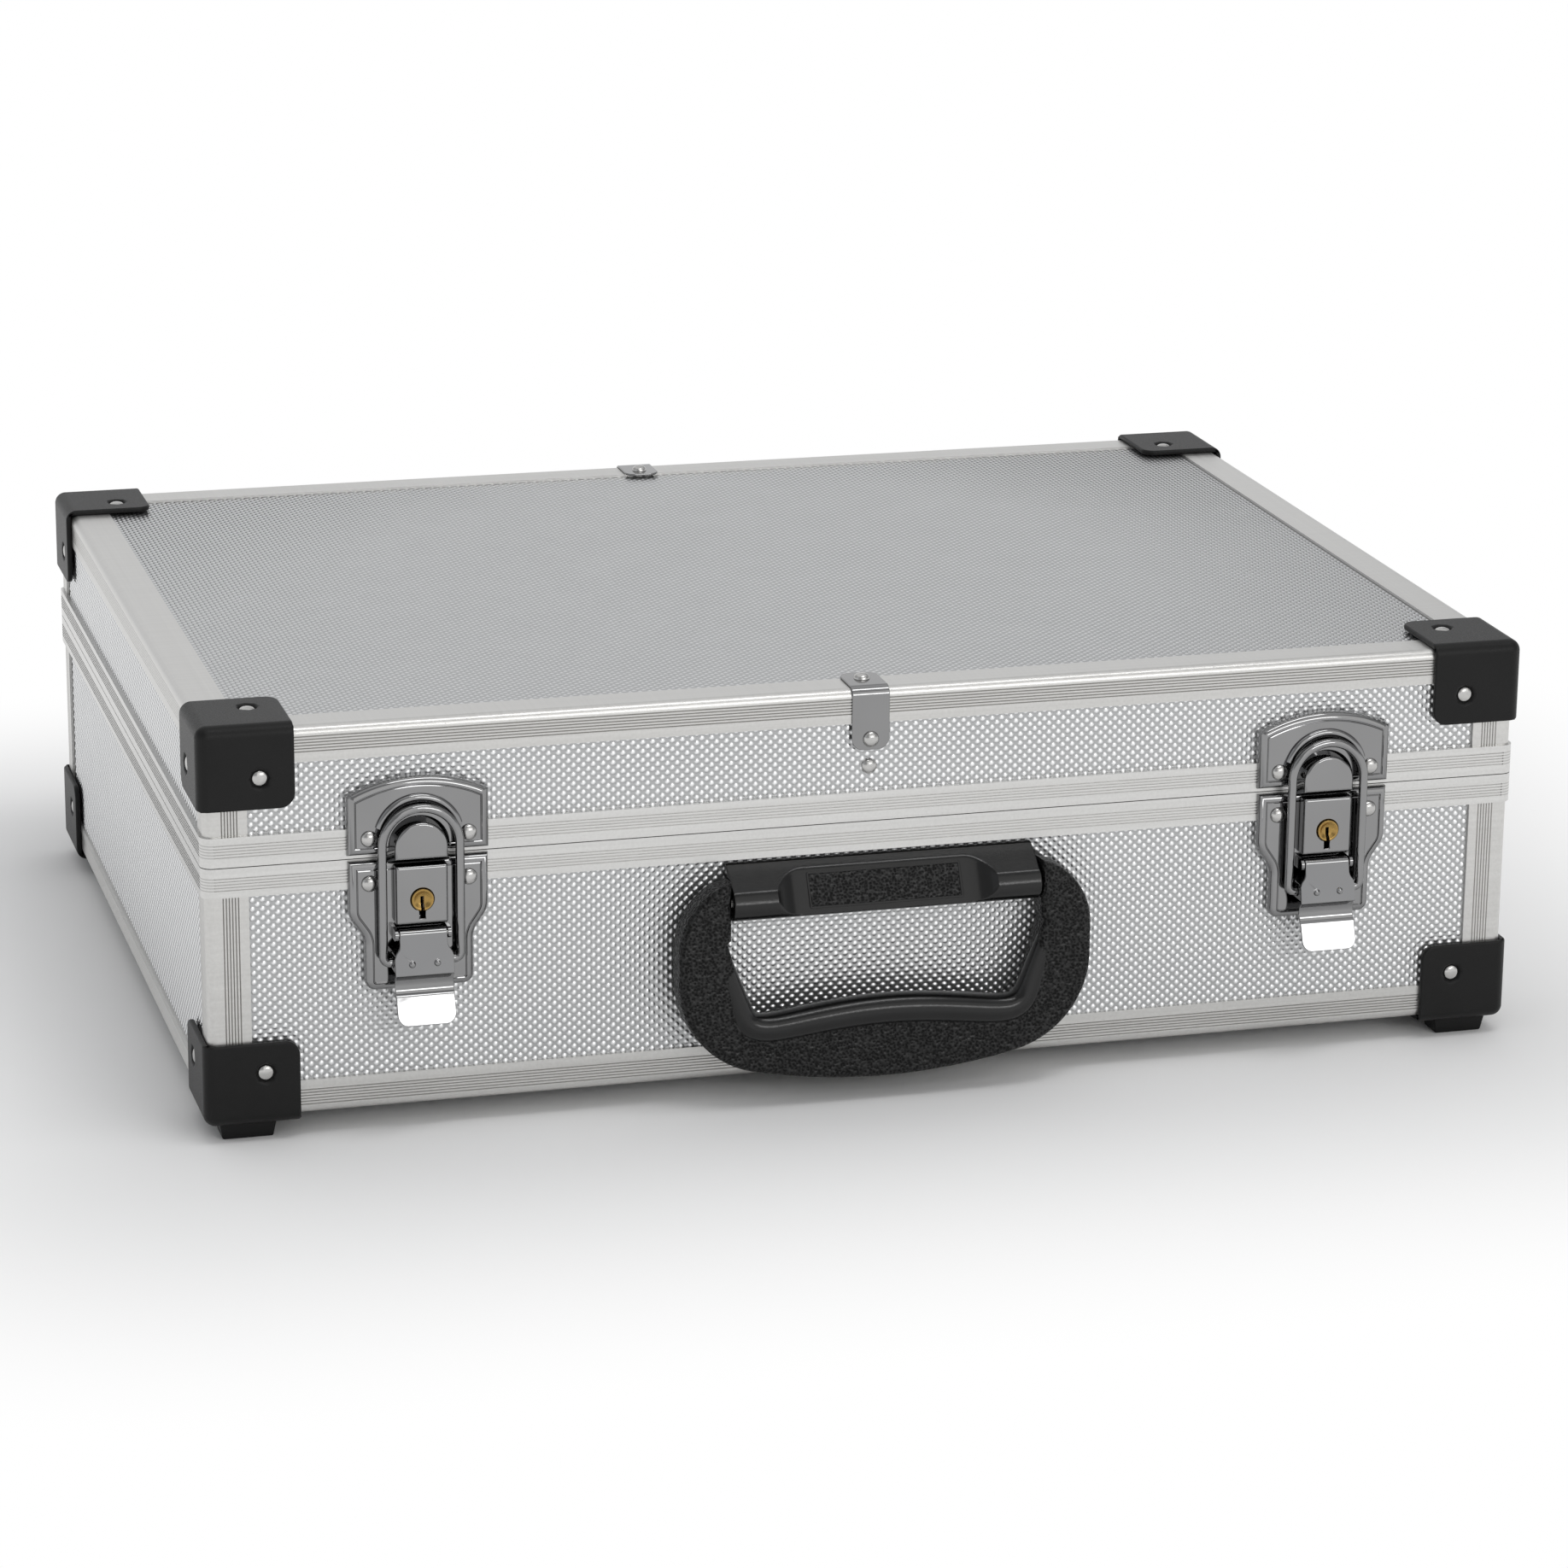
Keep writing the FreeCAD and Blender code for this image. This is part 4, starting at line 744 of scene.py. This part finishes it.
# The keeper is a rectangle with an arched top, a raised boss for the bail and a bead over the boss
keeper_half = 0.0236
keeper_gap = 0.0014
keeper_side = 0.020
keeper_arch = 0.0058
keeper_low = seam + keeper_gap
arch_radius = (keeper_half ** 2 + keeper_arch ** 2) / (2 * keeper_arch)
arch_turn = math.asin(keeper_half / arch_radius)
arch_z = keeper_low + keeper_side + keeper_arch - arch_radius
keeper_path = [Vector((-keeper_half, keeper_low)), Vector((keeper_half, keeper_low)),
               *arc_points(arch_z, arch_radius, quarter_turn - arch_turn, quarter_turn + arch_turn, steps=24)]
boss_half = 0.0104
boss_gap = 0.0005
boss_lift = 0.0041
boss_height = 0.0047
boss_sink = 0.0006
boss_roll = 0.0012
boss_draft = 0.0015
boss_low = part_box("latch_left_lock_case")[1][2] + boss_gap
boss_path = [Vector((-boss_half, boss_low)), Vector((boss_half, boss_low)),
             *arc_points(seam + boss_lift, boss_half, 0, math.pi, steps=28)]
boss_wall = shoulder(plate_face + boss_sink, plate_face - boss_height, boss_roll, boss_draft)
bead_lift = 0.0067
bead_reach = 0.0136
bead_radius = 0.0015
bead_start = math.radians(17)
bead_path = arc_points(seam + bead_lift, bead_reach, bead_start, math.pi - bead_start, steps=40)

# The base plate is wide at the rim and drawn in by an S on each side; its ears carry the lever's pin
plate_half = 0.0233
plate_gap = 0.0006
plate_length = 0.0446
plate_foot_half = 0.0182
plate_foot_round = 0.0035
neck_start = 0.019
neck_end = 0.0265
neck_round = 0.008
plate_high = seam - plate_gap
plate_right = [(plate_foot_half, plate_high - plate_length, plate_foot_round),
               (plate_foot_half, plate_high - neck_end, neck_round),
               (plate_half, plate_high - neck_start, neck_round), (plate_half, plate_high, 0)]
plate_left = [(-x, z, radius) for x, z, radius in plate_right]
plate_path = rounded_path(plate_left[:1] + plate_right + plate_left[:0:-1])
ear_half = 0.0019
ear_inner = 0.0083
ear_thickness = 0.001
pin_low, pin_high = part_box("latch_lever_pins")
pin_y = (pin_low[1] + pin_high[1]) / 2
pin_z = (pin_low[2] + pin_high[2]) / 2
ear_path = [Vector((plate_face, pin_z - ear_half)),
            *arc_points(pin_z, ear_half, -quarter_turn, -3 * quarter_turn, steps=10, middle_x=pin_y),
            Vector((plate_face, pin_z + ear_half))]

for side, middle_x in latch_middle.items():
    latch = f"latch_{side}_"
    shape = bmesh.new()
    pressed(shape, keeper_path, plate_wall, middle_x)
    pressed(shape, boss_path, boss_wall, middle_x)
    bead = [((middle_x + point.x, plate_face, point.y), bead_radius) for point in bead_path]
    shape.from_mesh(grown(rod, {"Sides": rod_sides, "Finish": plated}, rod_path(bead, "POLY")))
    finished(shape, latch + "keeper_pressing", plated, "plated_steel", "lid", latch + "keeper")

    shape = bmesh.new()
    pressed(shape, plate_path, plate_wall, middle_x)
    for way in (-1, 1):
        extruded(shape, ear_path, middle_x + way * ear_inner, middle_x + way * (ear_inner + ear_thickness))
    finished(shape, latch + "base_pressing", plated, "plated_steel", "base", latch + "base_plate")
    for kind, width, rounds in (("lock_case", 0.0004, 3), ("lever", 0.0003, 2), ("bail", 0.0004, 2)):
        softened(latch + kind, width, rounds, plated)
for name in [name for name in nodes if name.endswith(("_clip", "_leaf"))]:
    softened(name, width=0.0003, rounds=2, finish=plated)

# Lock cylinders
# Turned brass plugs with a dished face and a milled key slot. Each turns in its lock case and
# carries the cam behind it.
brass, tree, shader, place = new_finish("turned_brass", metallic=1.0)
paint(tree, shader, noise(tree, place, scale=900.0, detail=3),
      dark=(0.30, 0.185, 0.055), light=(0.44, 0.29, 0.10))
roughen(tree, shader, noise(tree, place, scale=1500.0, detail=2), low=0.18, high=0.34)

# The plug's profile is given as (radius, depth behind its front) and its slot as (width, depth, height)
plug_profile = [(0.00375, 0.003), (0.00375, 0.0), (0.00358, -0.00025), (0.00328, -0.0003), (0.0029, -0.00012),
                (0.0022, 0.0005), (0.0012, 0.00085), (0.0004, 0.0009)]
plug_sides = 40
plug_turns = [2 * math.pi * step / plug_sides for step in range(plug_sides)]
key_slot = (0.0012, 0.006, 0.0046)
key_slot_drop = 0.0013
for side, middle_x in latch_middle.items():
    node = f"latch_{side}_lock_cylinder"
    low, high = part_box(node)
    key_z = high[2] - plug_profile[0][0]
    shape = bmesh.new()
    bridged(shape, [[shape.verts.new((middle_x + radius * math.cos(turn), low[1] + depth,
                                      key_z + radius * math.sin(turn))) for turn in plug_turns]
                    for radius, depth in plug_profile])
    bmesh.ops.recalc_face_normals(shape, faces=shape.faces)
    turned = bpy.data.meshes.new("turned")
    shape.to_mesh(turned)
    shape.free()
    shape = bmesh.new()
    bmesh.ops.create_cube(shape, size=1.0, matrix=Matrix.Translation((middle_x, low[1], key_z - key_slot_drop))
                          @ Matrix.Diagonal((*key_slot, 1)))
    cut = bpy.data.meshes.new("cut")
    shape.to_mesh(cut)
    shape.free()
    cutter = bpy.data.objects.new("cutter", cut)
    scene.collection.objects.link(cutter)
    slotted = baked(turned, "BOOLEAN", object=cutter, operation="DIFFERENCE", solver="EXACT")
    bpy.data.objects.remove(cutter)
    shape = bmesh.new()
    shape.from_mesh(slotted)
    finished(shape, f"latch_{side}_plug", brass, "brass", body_of(nodes[node])[0], node)

# Handle
# Black moulded plastic: a smooth bracket with a grained pad, and a grip with a leather grain and
# a smooth glossy bar along the foot of its opening.
grain_scale = 1200.0
grain_depth = 0.0006
sheen_low, rough_low, cell_high = 0.25, 0.2, 0.7
leathered, tree, shader, place = new_finish("leather_grained_plastic", metallic=0.0)
cells = add(tree, "ShaderNodeTexVoronoi", [("Vector", place), ("Scale", grain_scale)],
            feature="SMOOTH_F1").outputs["Distance"]
paint(tree, shader, cells, dark=(0.001, 0.001, 0.001), light=(0.007, 0.007, 0.007))
tree.links.new(spread(tree, cells, sheen_low, cell_high, low=0.14, high=0.5), shader.inputs["Specular IOR Level"])
tree.links.new(spread(tree, cells, rough_low, cell_high, low=0.44, high=0.3), shader.inputs["Roughness"])
bump(tree, shader, cells, grain_depth)

smooth_black, tree, shader, place = new_finish("smooth_black_plastic", metallic=0.0)
haze = noise(tree, place, scale=1800.0, detail=2)
shader.inputs["Specular IOR Level"].default_value = 0.4
paint(tree, shader, noise(tree, place, scale=50.0, detail=3),
      dark=(0.004, 0.004, 0.004), light=(0.008, 0.008, 0.008))
roughen(tree, shader, haze, low=0.14, high=0.22)
bump(tree, shader, haze, distance=0.00002)

# The bracket's section, as (distance out from the board, height), runs from its foot over the barrel to its lip
barrel_radius = 0.006
barrel_out = 0.0092
barrel_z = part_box("handle_bracket")[0][2] + barrel_radius
bracket_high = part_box("handle_bracket")[1][2]
bracket_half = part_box("handle_bracket")[1][0]
lip_out = 0.002
lip_lean = math.atan2(bracket_high - barrel_z, lip_out - barrel_out)
lip_lean -= math.acos(barrel_radius / math.hypot(bracket_high - barrel_z, lip_out - barrel_out))
foot_steps = 6
barrel_steps = 28
lip_steps = 16
section = [Vector((barrel_out * step / foot_steps, barrel_z - barrel_radius)) for step in range(foot_steps)]
section += arc_points(barrel_z, barrel_radius, -quarter_turn, lip_lean, barrel_steps, barrel_out)
touch = section[-1].copy()
lip = Vector((lip_out, bracket_high))
section += [touch.lerp(lip, step / lip_steps) for step in range(1, lip_steps + 1)] + [Vector((0, bracket_high))]

# A flat leaning face is cut across the barrel in the middle, and runs out in a hollow at each end
flat_top = Vector((0.0056, barrel_z + 0.0093))
flat_foot = Vector((0.0129, barrel_z - 0.0042))
flat_up = (flat_top - flat_foot).normalized()
flat_normal = Vector((flat_up.y, -flat_up.x))
flat_half = 0.028
hollow_radius = 0.0144
hollow_reach = 0.0103
hollow_steps = 14
uncut = 1.0
edge_roll = 0.0006
edge_bend = 0.3 * edge_roll
stations = [(-bracket_half, edge_roll), (-bracket_half + edge_bend, edge_bend), (-bracket_half + edge_roll, 0.0)]
stations += [(-flat_half - hollow_reach * (1 - step / hollow_steps), 0.0) for step in range(hollow_steps + 1)]
stations += [(-x, inset) for x, inset in reversed(stations)]
shape = bmesh.new()
rings = []
for x, inset in stations:
    run = max(0.0, abs(x) - flat_half)
    allowed = uncut
    if run <= hollow_reach:
        allowed = hollow_radius - math.sqrt(max(0.0, hollow_radius ** 2 - run ** 2))
    ring = []
    for point in drawn_in(section, inset):
        over = max(0.0, (point - flat_foot).dot(flat_normal) - allowed)
        point = point - flat_normal * over
        ring.append(shape.verts.new((x, board_front - point.x, point.y)))
    rings.append(ring)
bridged(shape, rings)
finished(shape, "handle_bracket_moulding", smooth_black, "handle_plastic", "base", "handle_bracket")

# A raised frame stands on the flat face round a grained pad
pad_middle = (flat_top + flat_foot) / 2
pad_half = 0.0268
pad_half_height = 0.0063
pad_round = 0.0008
pad_sink = 0.0002
pad_stand = 0.00006
pad_inset = 0.0007
frame_width = 0.0008
frame_side = 0.0002
frame_stand = 0.00035
frame_bevel = 0.00015
pad_place = Matrix(((1, 0, 0, 0), (0, flat_normal.x, -flat_up.x, board_front - pad_middle.x),
                    (0, -flat_normal.y, flat_up.y, pad_middle.y), (0, 0, 0, 1)))
pad_path = rounded_path([(x * pad_half, z * pad_half_height, pad_round)
                         for x, z in ((-1, -1), (1, -1), (1, 1), (-1, 1))], steps=4)
frame_wall = [(0.0, pad_sink), (0.0, -frame_side), (frame_bevel, -frame_stand),
              (frame_width - frame_bevel, -frame_stand), (frame_width, -frame_side), (frame_width, pad_sink)]
shape = bmesh.new()
pressed(shape, pad_path, frame_wall, 0.0, capped=False)
bmesh.ops.transform(shape, matrix=pad_place, verts=shape.verts)
finished(shape, "handle_pad_frame", smooth_black, "handle_plastic", "base")
shape = bmesh.new()
pressed(shape, drawn_in(pad_path, pad_inset), [(0.0, pad_sink), (0.0, -pad_stand)], 0.0)
bmesh.ops.transform(shape, matrix=pad_place, verts=shape.verts)
finished(shape, "handle_pad", leathered, "handle_plastic", "base")

# The grip's outline: down the left arm, along the belly, up the right arm and back round the opening
grip_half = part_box("handle_grip")[1][0]
grip_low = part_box("handle_grip")[0][2]
arm_gap = 0.0005
arm_x = bracket_half + arm_gap
arm_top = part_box("handle_grip")[1][2]
arm_radius = 0.024945
arm_z = grip_low + 0.0484
arm_turn = math.asin((arm_top - arm_z) / arm_radius)
corner_radius = 0.033285
corner_z = grip_low + 0.03764
corner_turn = math.radians(77.09)
belly_radius = 0.20564
opening_foot_x = 0.0475
opening_foot_z = grip_low + 0.0223
opening_crown = 0.0042
opening_radius = (opening_foot_x ** 2 + opening_crown ** 2) / (2 * opening_crown)
opening_turn = math.asin(opening_foot_x / opening_radius)
opening_z = opening_foot_z + opening_crown - opening_radius
waist_z = grip_low + 0.0522
waist_step = 0.0011
left_arm = arc_points(arm_z, arm_radius, math.pi - arm_turn, math.pi, steps=12,
                      middle_x=arm_radius - grip_half)
# The arc's second point is left out, so that the outline drawn in for the roll does not cross itself
del left_arm[1]
left_arm += arc_points(corner_z, corner_radius, math.pi, math.pi + corner_turn, steps=18,
                       middle_x=corner_radius - grip_half)
belly = arc_points(grip_low + belly_radius, belly_radius, corner_turn - math.pi, -corner_turn, steps=20)[1:-1]
right_arm = [Vector((-point.x, point.y)) for point in reversed(left_arm)]
opening = [Vector((arm_x, waist_z)), Vector((arm_x + waist_step, waist_z - waist_step)),
           *arc_points(opening_z, opening_radius, quarter_turn - opening_turn, quarter_turn + opening_turn, steps=20),
           Vector((-arm_x - waist_step, waist_z - waist_step)), Vector((-arm_x, waist_z))]
grip_path = left_arm + belly + right_arm + opening
grip_gap = 0.0038
grip_thickness = 0.0108
grip_back = board_front - grip_gap
grip_face = grip_back - grip_thickness
back_bevel = 0.0008
grip_roll = 0.0026
grip_wall = [(back_bevel, grip_back), *shoulder(grip_back - back_bevel, grip_face, grip_roll)]
shape = bmesh.new()
pressed(shape, grip_path, grip_wall, 0.0)

# Above the pins the back of the arms is rounded, so that it clears the board when the grip swings up
swing_radius = 0.0088
for vertex in shape.verts:
    inward = Vector((vertex.co.y - board_front + barrel_out, vertex.co.z - barrel_z))
    if inward.x > 0 and inward.y > 0 and inward.length > swing_radius:
        inward *= swing_radius / inward.length
        vertex.co.y = board_front - barrel_out + inward.x
        vertex.co.z = barrel_z + inward.y
finished(shape, "handle_flap", leathered, "handle_plastic", "handle", "handle_grip")

# The bar runs along the foot of the opening and turns up both sides of it, thinning out
# Its points are given as (x, height over the grip's foot, radius)
bar_out = 0.0112
bar_line = [(-0.0583, 0.0503, 0.0024), (-0.0562, 0.0438, 0.0032), (-0.0536, 0.0358, 0.0038),
            (-0.0512, 0.0283, 0.0043), (-0.0488, 0.0218, 0.0048), (-0.0425, 0.0194, 0.0052),
            (-0.030, 0.0211, 0.0054), (-0.015, 0.0230, 0.0055), (0, 0.0237, 0.0055)]
bar_line += [(-x, z, radius) for x, z, radius in reversed(bar_line[:-1])]
bar = rod_path([((x, board_front - bar_out, grip_low + z), radius) for x, z, radius in bar_line], "NURBS", steps=8)
mesh = grown(rod, {"Sides": rod_sides, "Finish": smooth_black}, bar)
piece_of("handle_bar_rim", mesh, "handle")
